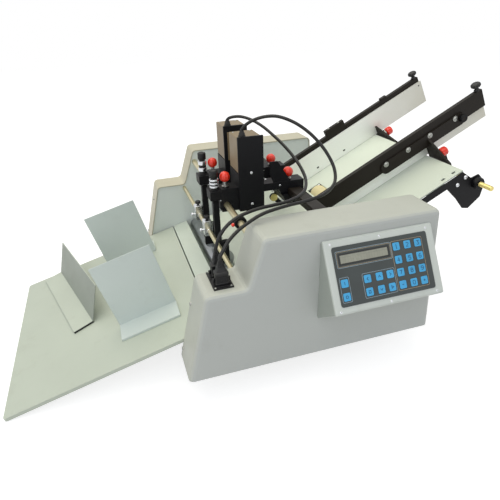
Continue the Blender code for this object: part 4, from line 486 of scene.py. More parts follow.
def make_looks():
    """Every material, by a short name."""
    across = (40.0, 1.0, 40.0)
    black = {"bright": 2.6, "peel": 0.18, "edge": 0.0009}
    return {
        # Painted light: faces that look to -Y are tinted a cooler grey than the tops
        "cover": paint("cover_paint_look", "b8bab1", 0.42, turn=("normal", "Y", -0.9, -0.5, "b7bab7")),
        # Painted light: all faces but those that look to +Y are painted a warm cream, as under warm light from
        # above
        "far_cover": paint("far_cover_paint_look", "b7bab7", 0.42, turn=("normal", "Y", 0.5, 0.9, "bcb69f")),
        # Painted shade: faces that look to -X are painted darker, as if turned from the light
        "box": paint("box_paint_shaded_left_look", "c8cdc8", 0.42, turn=("normal", "X", -0.9, -0.5, "9da39c")),
        "frame": paint("frame_paint_look", "c8d0c5", 0.5),
        # Painted light: the inner side walls are painted much paler than the covers, standing in for light inside
        # the machine
        "wall": paint("wall_paint_lit_copy_look", "d6dcd8", 0.5),
        "tray": paint("tray_paint_look", "bac1b4", 0.46),
        "plate": paint("guide_paint_look", "ccd5d1", 0.4),
        # Painted shade: faces that do not look up are painted darker
        "stop": paint("stop_paint_shaded_sides_look", "bcc3b6", 0.46, turn=("normal", "Z", 0.7, 0.92, "878e85")),
        # Painted shade: the table is painted darker towards -Y
        "table": paint("table_paint_shaded_front_look", "dde4d6", 0.4, turn=("place", "Y", -0.26, 0.0, "c9d0c2")),
        "aluminium": graded_metal("aluminium_look", "fcfefa", "c1bba8", 0.32, 0.58, (1.0, 40.0, 40.0)),
        "zinc": metal("zinc_look", "cfc6a4", 0.36, "8a7d5c", across),
        "steel": metal("steel_look", "a8aaad", 0.3, "6e6658", across),
        "bright": metal("bright_look", "d4d6da", 0.22, "8f8f8c"),
        "brass": metal("brass_look", "dccb86", 0.3, "6f5a2c", across),
        "black": paint("black_paint_look", "0a0a0e", 0.5, "2c2a28", Specular_IOR_Level=0.22, **black),
        "brown": paint("brown_paint_look", "1a150f", 0.5, "3c3528", Specular_IOR_Level=0.24, **black),
        "coil": paint("coil_tan_look", "7f6d50", 0.46, "5f563f", 1.15, 0.2, 0.001),
        "rubber": rubber("black_rubber_look", "131313", 0.72),
        "tyre": rubber("feed_rubber_look", "e2d5a8", 0.66, 260.0, "9a8f6c"),
        "plastic": plastic("black_plastic_look", "121214", 0.42, Specular_IOR_Level=0.4),
        "red": plastic("red_plastic_look", "ea3018", 0.32, 900.0, 0.08, Coat_Weight=0.3),
        "keypad": plastic("keypad_film_look", "3b4141", 0.4, 1800.0, 0.1),
        "key": plastic("key_print_look", "45a5da", 0.38, 1600.0, 0.1),
        "key_rim": plastic("key_rim_look", "1c2326", 0.4),
        "dull": metal("dull_zinc_look", "a5a6a2", 0.42, "6f6a5c"),
        "coil_dark": paint("coil_seam_look", "4b4232", 0.55),
        "key_mark": plastic("key_mark_look", "1a5680", 0.44),
        "line": plastic("tan_line_look", "a3937a", 0.45),
        "pale_line": plastic("pale_line_look", "93a6b2", 0.45),
        "dark": plastic("bezel_and_hole_shade_look", "222423", 0.4),
        "glass": glass("display_look"),
        "cable": plastic("cable_sheath_look", "0c0b0b", 0.32, 700.0, 0.15, Specular_IOR_Level=0.4),
    }


# Making pieces

LOOKS = make_looks()


def piece(name, shape, look, body="chassis", slot=None, smooth_deg=35.0, stands_for=None):
    """Turns a bmesh into a piece that rides on a body, or on none."""
    bmesh.ops.recalc_face_normals(shape, faces=shape.faces)
    mesh = bpy.data.meshes.new(name)
    shape.to_mesh(mesh)
    shape.free()
    mesh.shade_smooth()
    mesh.set_sharp_from_angle(angle=math.radians(smooth_deg))
    mesh.materials.append(LOOKS[look])
    made = bpy.data.objects.new(name, mesh)
    bpy.context.scene.collection.objects.link(made)
    if body:
        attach(made, body)
    if stands_for:
        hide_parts(stands_for)
    return made


def box_of(node):
    """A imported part's two corners and its middle."""
    low, high = (Vector(corner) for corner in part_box(node))
    return low, high, (low + high) / 2


def circle(centre, across, third, reaches):
    """Points round a centre at even turns, each at its own reach."""
    points = []
    for i, reach in enumerate(reaches):
        turn = 2 * math.pi * i / len(reaches)
        points.append(centre + (across * math.cos(turn) + third * math.sin(turn)) * reach)
    return points


def add_walls(shape, rings):
    """Four-sided faces from each ring of corners to the next."""
    for lower, upper in zip(rings, rings[1:]):
        for i in range(len(lower)):
            j = (i + 1) % len(lower)
            shape.faces.new((lower[i], lower[j], upper[j], upper[i]))


def add_rings(shape, rings):
    """Joins rings of points into a closed skin, single points at the ends allowed."""
    made = [[shape.verts.new(point) for point in ring] for ring in rings]
    for lower, upper in zip(made, made[1:]):
        count = max(len(lower), len(upper))
        for i in range(count if count > 1 else 0):
            j = (i + 1) % count
            below = [lower[i % len(lower)], lower[j % len(lower)]]
            above = [upper[j % len(upper)], upper[i % len(upper)]]
            shape.faces.new(dict.fromkeys(below + above))
    for ring in (made[0], made[-1]):
        if len(ring) > 1:
            shape.faces.new(ring)


def add_plate(shape, outline, place, low, high, edge=0.0):
    """A flat plate whose outline is anticlockwise, its upper edge chamfered."""
    rings = [[place(a, b, low) for a, b in outline], [place(a, b, high - edge) for a, b in outline]]
    if edge:
        rings.append([place(a, b, high) for a, b in inset(outline, edge)])
    add_rings(shape, rings)


def add_frame(shape, outer, inner, place, low, high, edge):
    """A flat frame between two outlines with as many corners, its upper edges chamfered."""
    levels = ((outer, 0.0, low), (outer, 0.0, high - edge), (outer, edge, high))
    levels += ((inner, -edge, high), (inner, 0.0, high - edge), (inner, 0.0, low))
    made = []
    for outline, shift, out in levels:
        outline = inset(outline, shift) if shift else outline
        made.append([shape.verts.new(place(a, b, out)) for a, b in outline])
    add_walls(shape, [*made, made[0]])


def add_turned(shape, profile, base, way, sides=32, lobes=0, share=0.0):
    """A turned form: profile holds pairs of height and radius in mm, and lobes are cut in by a share."""
    axis = Vector(way).normalized()
    across = axis.orthogonal().normalized()
    cuts = [1 - share * (1 - math.cos(lobes * 2 * math.pi * i / sides)) / 2 for i in range(sides)]
    rings = []
    for height, radius in profile:
        centre = Vector(base) + axis * (height * MM)
        reaches = [radius * MM * cut for cut in cuts]
        rings.append(circle(centre, across, axis.cross(across), reaches) if radius else [centre])
    add_rings(shape, rings)


def turned(name, profile, base, way, look, body="chassis", sides=32, lobes=0, share=0.0, **settings):
    """A piece that is one turned form."""
    shape = bmesh.new()
    add_turned(shape, profile, base, way, sides, lobes, share)
    piece(name, shape, look, body, **settings)


def add_screw(shape, place, out, radius_mm, turn_deg=0.0):
    """A pan head with a cross recess, seen as a small sunk cross."""
    radius = radius_mm * MM
    height = radius * 0.62
    axis = Vector(out).normalized()
    across = Matrix.Rotation(math.radians(turn_deg), 3, axis) @ axis.orthogonal().normalized()
    sides = 24
    flat = 0.42
    levels = [(-height * 0.3, [radius] * sides)]
    for i in range(6):
        lift = math.radians(90 * i / 6)
        levels.append((height * math.sin(lift), [radius * (flat + (1 - flat) * math.cos(lift))] * sides))
    levels.append((height, [radius * flat] * sides))
    cross = [radius * (0.4 if i % 6 in (0, 1, 5) else 0.13) for i in range(sides)]
    levels += [(height, cross), (height * 0.35, [arm * 0.85 for arm in cross])]
    rings = [circle(Vector(place) + axis * lift, across, axis.cross(across), reach) for lift, reach in levels]
    add_rings(shape, [*rings, [Vector(place) + axis * height * 0.3]])


def screws(name, spots, look="bright", body="chassis"):
    """A piece made of screws, each given as place, way out, radius in mm and turn in degrees."""
    shape = bmesh.new()
    for spot in spots:
        add_screw(shape, *spot)
    piece(name, shape, look, body)


def add_tube(shape, points, radius, sides):
    """A round tube along points."""
    rings = []
    normal = None
    for i, point in enumerate(points):
        ahead = (points[min(i + 1, len(points) - 1)] - points[max(i - 1, 0)]).normalized()
        normal = ahead.orthogonal() if normal is None else normal - ahead * normal.dot(ahead)
        normal.normalize()
        rings.append(circle(point, normal, ahead.cross(normal), [radius] * sides))
    add_rings(shape, rings)


def add_stroke(shape, line, width, place, low, high):
    """A flat line of even width on a face, mitred at its bends and closed where it meets itself."""
    points = [Vector(point) for point in line]
    closed = (points[0] - points[-1]).length < 1e-9
    if closed:
        points.pop()
    count = len(points)
    made = []
    for i, here in enumerate(points):
        before = points[i - 1] if closed or i else None
        after = points[(i + 1) % count] if closed or i + 1 < count else None
        into = (here - before).normalized() if before is not None else (after - here).normalized()
        out = (after - here).normalized() if after is not None else into
        normal = Vector((-into.y - out.y, into.x + out.x)).normalized()
        reach = normal * (width / 2 / max(0.5, normal.dot(Vector((-into.y, into.x)))))
        left, right = here + reach, here - reach
        corners = (place(*left, low), place(*left, high), place(*right, high), place(*right, low))
        made.append([shape.verts.new(corner) for corner in corners])
    add_walls(shape, [*made, made[0]] if closed else made)
    if not closed:
        shape.faces.new(made[0])
        shape.faces.new(made[-1])


def smooth_points(route, step):
    """Points about a step apart along a smooth curve through the route's points."""
    knots = [Vector(point) for point in route]
    padded = [knots[0] * 2 - knots[1], *knots, knots[-1] * 2 - knots[-2]]
    points = [knots[0]]
    for i in range(1, len(padded) - 2):
        p0, p1, p2, p3 = padded[i - 1 : i + 3]
        pieces = max(1, round((p2 - p1).length / step))
        for k in range(1, pieces + 1):
            t = k / pieces
            bend = 2 * p0 - 5 * p1 + 4 * p2 - p3
            twist = 3 * p1 - p0 - 3 * p2 + p3
            points.append((2 * p1 + (p2 - p0) * t + bend * t * t + twist * t * t * t) / 2)
    return points


# Camera, stage and light


def place_camera():
    """The camera that took the photograph."""
    yaw = math.radians(CAMERA_YAW_DEG)
    pitch = math.radians(CAMERA_PITCH_DEG)
    roll = math.radians(CAMERA_ROLL_DEG)
    ahead = Vector((math.sin(yaw) * math.cos(pitch), math.cos(yaw) * math.cos(pitch), -math.sin(pitch)))
    level = Vector((math.cos(yaw), -math.sin(yaw), 0.0))
    up = level.cross(ahead)
    side = level * math.cos(roll) + up * math.sin(roll)
    top = up * math.cos(roll) - level * math.sin(roll)
    data = bpy.data.cameras.new("camera")
    data.sensor_width = SENSOR_MM
    data.lens = SENSOR_MM * FOCAL_PX / FRAME_PX
    data.clip_start = 0.01
    made = bpy.data.objects.new("camera", data)
    bpy.context.scene.collection.objects.link(made)
    turn = Matrix((side, top, -ahead)).transposed().to_4x4()
    made.matrix_world = Matrix.Translation(CAMERA_PLACE + STAND) @ turn
    bpy.context.scene.camera = made


def soft_lamp(name, place, size, power, tint):
    """A square lamp aimed at the machine's middle."""
    data = bpy.data.lights.new(name, "AREA")
    data.shape = "SQUARE"
    data.size = size
    data.energy = power
    data.color = tint
    made = bpy.data.objects.new(name, data)
    bpy.context.scene.collection.objects.link(made)
    made.location = place
    made.rotation_euler = (Vector((0.0, 0.0, 0.2)) - Vector(place)).to_track_quat("-Z", "Y").to_euler()


def seen_directly(tree):
    """1 for rays from the camera, and those that a mirror or glass sends on."""
    rays = add_node(tree, "ShaderNodeLightPath").outputs
    share = rays["Is Camera Ray"]
    for ray in ("Is Glossy Ray", "Is Transmission Ray"):
        share = add_node(tree, "ShaderNodeMath", {0: share, 1: rays[ray]}, operation="MAXIMUM").outputs[0]
    return share


def switched(tree, plain, seen):
    """The plain shader, or the seen one for rays that see it directly."""
    inputs = {"Fac": seen_directly(tree), 1: plain, 2: seen}
    return add_node(tree, "ShaderNodeMixShader", inputs).outputs[0]


def set_stage():
    """Pale floor, pale surroundings and soft studio lamps."""
    shape = bmesh.new()
    half = 6.0
    corners = ((-half, -half), (half, -half), (half, half), (-half, half))
    shape.faces.new([shape.verts.new((x, y, -0.0004)) for x, y in corners])
    mesh = bpy.data.meshes.new("floor")
    shape.to_mesh(mesh)
    shape.free()
    look = Look("floor_look", "dcdcda", 0.9)
    cloud = look.mix(look.spread(look.noise(3.0, 3.0), 0.3, 0.7), linear("dbdbd9"), linear("dededc"))
    look.tree.links.new(cloud, look.shader.inputs["Base Color"])
    glow = look.node("ShaderNodeEmission", {"Color": (1.0, 1.0, 1.0, 1.0), "Strength": 0.78})
    plain = look.node("ShaderNodeBsdfDiffuse", {"Color": (0.42, 0.42, 0.42, 1.0)})
    both = look.node("ShaderNodeAddShader", {0: glow.outputs[0], 1: plain.outputs[0]})
    surface = switched(look.tree, look.shader.outputs["BSDF"], both.outputs[0])
    look.tree.links.new(surface, look.tree.nodes["Material Output"].inputs["Surface"])
    mesh.materials.append(look.material)
    floor = bpy.data.objects.new("floor", mesh)
    bpy.context.scene.collection.objects.link(floor)

    world = bpy.data.worlds.new("studio")
    world.use_nodes = True
    bpy.context.scene.world = world
    tree = world.node_tree
    tree.nodes.clear()
    ambient = add_node(tree, "ShaderNodeBackground", {"Color": (0.92, 0.95, 1.0, 1.0), "Strength": 0.56})
    white = add_node(tree, "ShaderNodeBackground", {"Color": (1.0, 1.0, 1.0, 1.0), "Strength": 1.0})
    surface = switched(tree, ambient.outputs[0], white.outputs[0])
    add_node(tree, "ShaderNodeOutputWorld", {"Surface": surface})

    soft_lamp("top_lamp", (-0.3, 0.4, 2.6), 2.4, 36.0, (1.0, 0.96, 0.75))
    soft_lamp("front_lamp", (-0.9, -2.0, 2.2), 2.0, 20.0, (0.93, 0.965, 1.0))
    soft_lamp("tray_lamp", (-2.2, -0.6, 1.5), 1.8, 5.0, (0.97, 0.98, 1.0))


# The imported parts' materials

NODE_LOOKS = {
    "cover": "near_cover",
    "far_cover": "far_cover",
    "box": "control_box",
    "frame": "base_pan",
    "wall": "near_frame far_frame",
    "tray": "delivery_tray",
    "plate": "tray_guide_front tray_guide_rear",
    "stop": "end_stop",
    "table": "feed_table",
    "aluminium": "near_guide_plate far_guide_plate",
    "zinc": "exit_rod head_rod",
    "steel": "anvil_roller exit_roller feed_shaft motor_pulley front_blade rear_blade",
    "bright": "front_depth_screw rear_depth_screw front_rod_clamp rear_rod_clamp",
    "brass": "guide_screw_rod",
    "black": "front_head rear_head front_blade_holder rear_blade_holder register_bracket feed_gate drive_motor",
    "brown": "near_guide_bar far_guide_bar head_rail",
    "coil": "front_coil_box rear_coil_box",
    "rubber": "foot_near_tray_end foot_near_feed_end foot_far_tray_end foot_far_feed_end drive_belt",
    "tyre": "feed_wheel",
    "plastic": "near_guide_end_knob far_guide_end_knob socket_plate front_plug rear_plug power_inlet"
    " rocker_switch",
    "red": "near_guide_lock_knob far_guide_lock_knob front_left_lock_knob front_right_lock_knob"
    " rear_left_lock_knob rear_right_lock_knob",
    "keypad": "keypad_overlay",
}


def dress_nodes():
    """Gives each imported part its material."""
    for look, names in NODE_LOOKS.items():
        for name in names.split():
            mesh = NODES[name].data
            mesh.materials.clear()
            mesh.materials.append(LOOKS[look])


def head_leads():
    """The two leads, each one smooth cable from its gland to its plug."""
    for name, route in LEADS.items():
        points = smooth_points([Vector(point) + STAND for point in route], LEAD_STEP)
        shape = bmesh.new()
        add_tube(shape, points, LEAD_RADIUS, 12)
        cable = piece(f"{name}_cable", shape, "cable", None, stands_for=name)
        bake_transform(cable)


# Control panel and covers


def panel_film():
    """The printed film under the keys, its corners round."""
    shape = bmesh.new()
    add_plate(shape, panel_outline(FILM, FILM_CORNER), on_panel, FILM_LOW, FILM_TOP, 0.0002)
    piece("keypad_film", shape, "keypad", stands_for="keypad_overlay")


def panel_keys():
    """Twenty raised keys with digits and plain signs, on dark rims."""
    keys = []
    for row, names in zip(NUMBER_KEY_ROWS, NUMBER_KEYS):
        keys += [(x, row, name) for x, name in zip(NUMBER_KEY_X, names)]
    for x, names in zip(MOVE_KEY_X, MOVE_KEYS):
        keys += [(x, row, name) for row, name in zip(MOVE_KEY_ROWS, names)]
    keys += [(POWER_KEY_X, row, name) for row, name in zip(POWER_KEY_ROWS, ("on", "off"))]
    caps, edges, signs = bmesh.new(), bmesh.new(), bmesh.new()
    half_x, half_y = KEY_HALF
    top = FILM_TOP + KEY_RISE
    for x, down, name in keys:
        outline = panel_outline((x - half_x, x + half_x, down - half_y, down + half_y), KEY_CORNER)
        add_plate(caps, outline, on_panel, FILM_TOP, top, KEY_EDGE)
        rim = inset(outline, -KEY_RIM)
        add_plate(edges, rim, on_panel, FILM_TOP - KEY_RIM, FILM_TOP + KEY_RISE / 3, KEY_EDGE / 3)
        for line in SIGNS[name]:
            scaled = [(x + (a - 2) * MARK_UNIT, -down + (b - 3) * MARK_UNIT) for a, b in line]
            add_stroke(signs, scaled, MARK_WIDTH, on_panel, top, top + PRINT_RISE)
    piece("panel_keys", caps, "key")
    piece("panel_key_rims", edges, "key_rim")
    piece("panel_key_signs", signs, "key_mark")


def panel_lines():
    """Printed lines round the groups of keys and the display."""
    for name, boxes, look in (("tan", TAN_BOXES, "line"), ("pale", PALE_BOXES, "pale_line")):
        shape = bmesh.new()
        for box in boxes:
            outline = panel_outline(box, LINE_CORNER)
            outline.append(outline[0])
            add_stroke(shape, outline, LINE_WIDTH, on_panel, FILM_TOP - PRINT_RISE, FILM_TOP + PRINT_RISE)
        piece(f"panel_{name}_lines", shape, look)


def panel_display():
    """The display's bezel and its window, a step below it."""
    left, right, top, bottom = DISPLAY
    window = (left + DISPLAY_RIM_X, right - DISPLAY_RIM_X, top + DISPLAY_RIM_Y, bottom - DISPLAY_RIM_Y)
    inner = panel_outline(window, 0.0004)
    low = FILM_TOP - PRINT_RISE
    shape = bmesh.new()
    outer = panel_outline(DISPLAY, DISPLAY_CORNER)
    add_frame(shape, outer, inner, on_panel, low, FILM_TOP + DISPLAY_RISE, 0.0004)
    piece("display_bezel", shape, "dark")
    shape = bmesh.new()
    add_plate(shape, inner, on_panel, low, FILM_TOP + PRINT_RISE)
    piece("display_window", shape, "glass")


def cover_screws():
    """Six screws that hold the control box's face, and those in the covers' two ends."""
    out = on_panel(0, 0, 1) - on_panel(0, 0, 0)
    spots = []
    for i, (x, down) in enumerate(PANEL_SCREWS):
        spots.append((on_panel(x, -down, -PANEL_SCREW_SUNK), out, PANEL_SCREW, 37 * i))
    screws("panel_screws", spots)
    spots = []
    for i, (y, z) in enumerate(TRAY_END_SCREWS):
        place = at(COVER_LEFT + (z - COVER_LOW) * TRAY_END_LEAN, y, z)
        spots.append((place, (-1, 0, TRAY_END_LEAN), COVER_SCREW, 23 * i))
    for i, (y, z) in enumerate(FEED_END_SCREWS):
        place = at(COVER_RIGHT - (z - COVER_LOW) * FEED_END_LEAN, y, z)
        spots.append((place, (1, 0, FEED_END_LEAN), COVER_SCREW, 31 * i))
    screws("cover_screws", spots, "dull")


# Heads and clamps


def red_knobs():
    """The four red ball grips that lock the heads, and the red caps that lock the guides."""
    knobs = []
    for node in ("front_left", "front_right", "rear_left", "rear_right"):
        low, high, middle = box_of(f"{node}_lock_knob")
        centre = (high.z - low.z) / MM - BALL
        grip = [(centre - BALL * 0.86, 0)]
        for i in range(3, 24):
            turn = math.radians(180 * i / 24)
            grip.append((centre - BALL * math.cos(turn), BALL * math.sin(turn)))
        grip.append((centre + BALL, 0))
        foot = centre - BALL * 0.84
        stem = [(0, 0), (0, 6.2), (1.6, 6.6), (2.6, 4), (foot, 4), (foot, 0)]
        knobs.append((node, (middle.x, middle.y, low.z), UP, grip, stem, 10, 0.075))
    for node in ("near_guide", "far_guide"):
        grip = [(4.6, 0), (4.6, 8), (5.6, 9.4), (8, 9.8), (15, 9.6), (17.6, 8.8), (19.2, 7), (19.8, 4.6)]
        grip += [(19, 4), (19, 0)]
        stem = [(0, 0), (0, 7.2), (2.2, 7.2), (3, 4), (6, 4), (6, 0)]
        knobs.append((node, HINGES[f"{node}_lock_knob_turn"], TABLE_AHEAD, grip, stem, 12, 0.09))
    for name, base, way, grip, stem, lobes, share in knobs:
        node = f"{name}_lock_knob"
        turned(f"{node}_grip", grip, base, way, "red", node, 96, lobes, share, smooth_deg=50, stands_for=node)
        turned(f"{node}_stem", stem, base, way, "dull", node, 24)


def depth_screws():
    """Black knurled knobs over ribbed silver collars, one on each head."""
    for side, ribs in (("front", 3), ("rear", 2)):
        node = f"{side}_depth_screw"
        low, high, middle = box_of(node)
        base = Vector((middle.x, middle.y, HINGES[f"{node}_turn"].z + 0.0002))
        top = (high.z - base.z) / MM
        rise = top - 18
        knob = [(0, 0), (0, 8.6), (0.6, 8.8), (1.4, 7.6), (rise, 7.6), (rise + 0.4, 5.2), (rise + 2.6, 5.2)]
        knob += [(rise + 3, 7.8), (rise + 3.8, 8.5), (top - 3, 8.5), (top - 1.4, 8), (top - 0.4, 6.6)]
        knob += [(top, 4.6), (top - 1, 4), (top - 1, 0)]
        look, smooth = "plastic", 50
        turned(f"{node}_knob", knob, base, UP, look, node, 120, 30, 0.05, smooth_deg=smooth, stands_for=node)
        shape = bmesh.new()
        pitch = (rise - 1.6) / ribs
        for i in range(ribs):
            foot = 1.6 + pitch * (i + 0.42)
            rib = [(0, 7), (0, 8.5), (0.4, 8.8), (pitch * 0.5, 8.8), (pitch * 0.58, 8.5), (pitch * 0.58, 7)]
            add_turned(shape, [(foot + height, radius) for height, radius in rib], base, UP, 40)
        piece(f"{node}_ribs", shape, "bright", node)
        foot = (low.z - base.z) / MM
        stud = [(foot, 0)]
        for i in range(int(-foot)):
            stud += [(foot + i, 2.6), (foot + i + 0.5, 3)]
        turned(f"{node}_stud", [*stud, (0, 2.8), (0, 0)], base, UP, "dull", node, 20)


def rod_clamps():
    """Silver clamps on the exit rod, each with a black thumb knob and a bright set screw."""
    left, low, high = EXIT_ROD_X - 0.011, EXIT_ROD_Z - 0.0095, EXIT_ROD_Z + 0.0235
    outline = rounded(left, EXIT_ROD_X + 0.0062, low, high, 0.003, 5)
    slot = rounded(EXIT_ROD_X - 0.0085, EXIT_ROD_X - 0.005, low + 0.0052, low + 0.0066, 0.0006, 2)
    half, edge = 0.009, 0.0008
    for side, y in CLAMP_SIDES:
        node = f"{side}_rod_clamp"

        def place(a, b, out):
            return at(a, y - out, b)

        shape = bmesh.new()
        ends = [[place(a, b, out) for a, b in inset(outline, edge)] for out in (-half, half)]
        sides = [[place(a, b, out) for a, b in outline] for out in (edge - half, half - edge)]
        add_rings(shape, [ends[0], *sides, ends[1]])
        for way in (BACK, FRONT):
            add_turned(shape, [(8.4, 6.4), (9.4, 6.4), (9.4, 5)], at(EXIT_ROD_X, y, EXIT_ROD_Z), way)
        piece(f"{node}_block", shape, "bright", node, stands_for=node)
        shape = bmesh.new()
        for out in (-half - 0.0001, half + 0.0001):
            add_plate(shape, slot, place, *sorted((out, out * 0.99)))
        grip = [(0, 0), (0, 2.4), (3, 2.4), (3.2, 5.2), (4, 6), (8, 6), (8.8, 5.2), (8.8, 3.4)]
        grip += [(8, 3), (8, 0)]
        add_turned(shape, grip, at(EXIT_ROD_X - 0.0022, y, high), UP, 96, 24, 0.07)
        piece(f"{node}_knob", shape, "plastic", node, smooth_deg=50)
        shape = bmesh.new()
        face = at(left, y, EXIT_ROD_Z + 0.0025)
        add_turned(shape, [(-1, 0), (-1, 2.2), (4.2, 2.2), (4.2, 0)], face, LEFT, 20)
        add_screw(shape, face - Vector((0.0056, 0, 0)), LEFT, 4.2, 20)
        add_turned(shape, [(4, 0), (4, 4), (4.6, 4.2), (6.2, 4.2), (6.2, 0)], face, LEFT, 24)
        piece(f"{node}_set_screw", shape, "bright", node)


def head_details():
    """Screws, glands, seams and coil window of the two heads, and the stop collar on their rod."""
    for side, front in HEAD_SIDES:
        body = f"{side}_head"
        corner = at(HEAD_LEFT, front, HEAD_LOW)
        spots = [(corner + Vector(spot) * MM, *rest) for *spot, rest in ((*s[:3], s[3:]) for s in HEAD_SCREWS)]
        screws(f"{side}_head_screws", spots, body=body)
        gland = [(0, 0), (0, 7.8), (1.4, 7.8), (2, 6.6), (4, 6.6), (4.6, 5.8), (7.6, 5.6), (9, 4.6)]
        gland += [(12.5, 3.6), (12.5, 0)]
        place = at(GLAND[0], front + GLAND[1], COIL_TOP)
        turned(f"{side}_lead_grommet", gland, place, UP, "rubber", body, 36, 12, 0.05)
        spots = []
        for x, y in COIL_SCREWS[1 if side == "front" else 0 :]:
            spots.append((at(HEAD_LEFT + x * MM, front + y * MM, COIL_TOP), UP, 2, 33))
        screws(f"{side}_coil_screws", spots, "dull", body)
        shape = bmesh.new()
        for i in range(1, 5):
            z = COIL_LOW + 0.012 * i
            outline = rounded(HEAD_LEFT + 0.004, HEAD_LEFT + 0.046, z, z + 0.0008, 0.0003, 2)
            add_plate(shape, outline, lambda a, b, out: at(a, front + 0.062 + out, b), -0.0004, 0.0002)
        piece(f"{side}_coil_seams", shape, "coil_dark", body)

    shape = bmesh.new()
    outline = rounded(HEAD_LEFT + 0.0075, HEAD_LEFT + 0.0465, HEAD_LOW + 0.075, HEAD_TOP - 0.0125, 0.001)
    rear = HEAD_SIDES[1][1]
    add_plate(shape, outline, lambda a, b, out: at(a, rear - out, b), -0.0004, 0.0006, 0.0004)
    piece("rear_head_window", shape, "coil", "rear_head")
    x, z = HEAD_ROD
    collar = [(0, 0), (0, 10.8), (0.8, 11.6), (9.2, 11.6), (10, 10.8), (10, 0)]
    turned("rod_stop_collar", collar, at(x, -0.172, z), BACK, "black", sides=48)
    grip = [(10, 0), (10, 3), (12.4, 3.4), (15, 3.4), (16.4, 2.4), (16.6, 0)]
    way = (-1, 0, -0.25)
    turned("rod_stop_screw", grip, at(x, -0.167, z), way, "red", sides=36, lobes=8, share=0.08)


# Feed side


def guide_details():
    """Holes of the far guide, drawn as dark patches of painted shade, and bolts and thumb nut of the two feed side
    guides.
    """
    # Painted shade: each hole is a thin dark patch on both faces of the far plate, not an opening
    shape = bmesh.new()
    for along, height, wide, tall in GUIDE_HOLES:
        for y, way in ((FAR_PLATE, -1), (FAR_PLATE + 0.003, 1)):
            outline = rounded(along - wide, along + wide, height - tall, height + tall, tall * 0.98, 5)
            add_plate(shape, outline, lambda a, b, out: on_table(a, y + out * way, b), -0.0002, 0.00012)
    piece("far_guide_holes", shape, "dark", "far_guide", "black_paint")
    shape = bmesh.new()
    washer = [(0, 0), (0, 5.6), (0.7, 5.6), (0.7, 0)]
    for i, along in enumerate(STRAP_BOLTS):
        place = on_table(along, STRAP_FACE, STRAP_HEIGHT)
        add_screw(shape, place, FRONT, 3.8, 29 * i)
        add_turned(shape, washer, place, FRONT)
    piece("near_guide_bolts", shape, "dull", "near_guide")
    spots = [(on_table(along, FAR_BACK, 0.048), BACK, 3.4, along * 200) for along in (0.21, 0.33, 0.47)]
    for along in (0.282, 0.31):
        spots.append((on_table(along, FAR_PLATE + 0.008, 0.08), TABLE_UP, 3, along * 150))
    screws("far_guide_bolts", spots, "dull", "far_guide")
    nut = [(0, 0), (0, 7.2), (0.8, 7.8), (8.8, 7.8), (9.6, 7.2), (9.6, 4.4), (8.6, 4), (8.6, 0)]
    place = on_table(THUMB_NUT[0], STRAP_FACE, THUMB_NUT[1])
    turned("near_guide_thumb_nut", nut, place, FRONT, "black", "near_guide", 96, 24, 0.05, smooth_deg=50)


def end_knobs():
    """The black thumb screws on the guides' free ends."""
    grip = [(0, 0), (0, 5.8), (1.6, 6.2), (2.4, 4.8), (5, 4), (7.4, 5), (8.8, 8.6), (10.4, WING - 0.4)]
    grip += [(12.2, WING), (14.4, WING - 0.6), (16, WING - 2.2), (16.9, WING - 4.8), (16.4, 3.2), (16.4, 0)]
    for side in ("near", "far"):
        node = f"{side}_guide_end_knob"
        base, name = HINGES[f"{node}_turn"], f"{node}_grip"
        turned(name, grip, base, TABLE_UP, "plastic", node, 96, 12, 0.08, smooth_deg=50, stands_for=node)


def screw_rod():
    """The brass rod with its cut thread, its end nut, and the bracket's screws."""
    node = "guide_screw_rod"
    low, high, middle = box_of(node)
    length = (high.y - low.y) / MM
    pitch, threaded = 1.25, 32
    thread = [(0, 0), (0, 3.6)]
    for i in range(int(threaded / pitch)):
        thread += [(0.6 + pitch * i, 4.1), (0.6 + pitch * (i + 0.5), 4.8)]
    thread += [(threaded + 1, 4), (length - 0.6, 4), (length, 3.4), (length, 0)]
    base = (middle.x, low.y, middle.z)
    turned("screw_rod_thread", thread, base, BACK, "brass", node, 28, stands_for=node)
    nut = [(0, 5.2), (0, 11.2), (1, 11.8), (8.6, 11.8), (9.6, 10.8), (11.2, 10), (11.2, 5.2)]
    base = (middle.x, BRACKET_FACE + STAND.y, middle.z)
    turned("bracket_nut", nut, base, FRONT, "black", sides=48, lobes=6, share=0.05, smooth_deg=50)
    spots = []
    for i, (along, height) in enumerate(BRACKET_SCREWS):
        spots.append((on_table(along, BRACKET_FACE, height), FRONT, 4.4, 35 * i))
    screws("bracket_screws", spots)


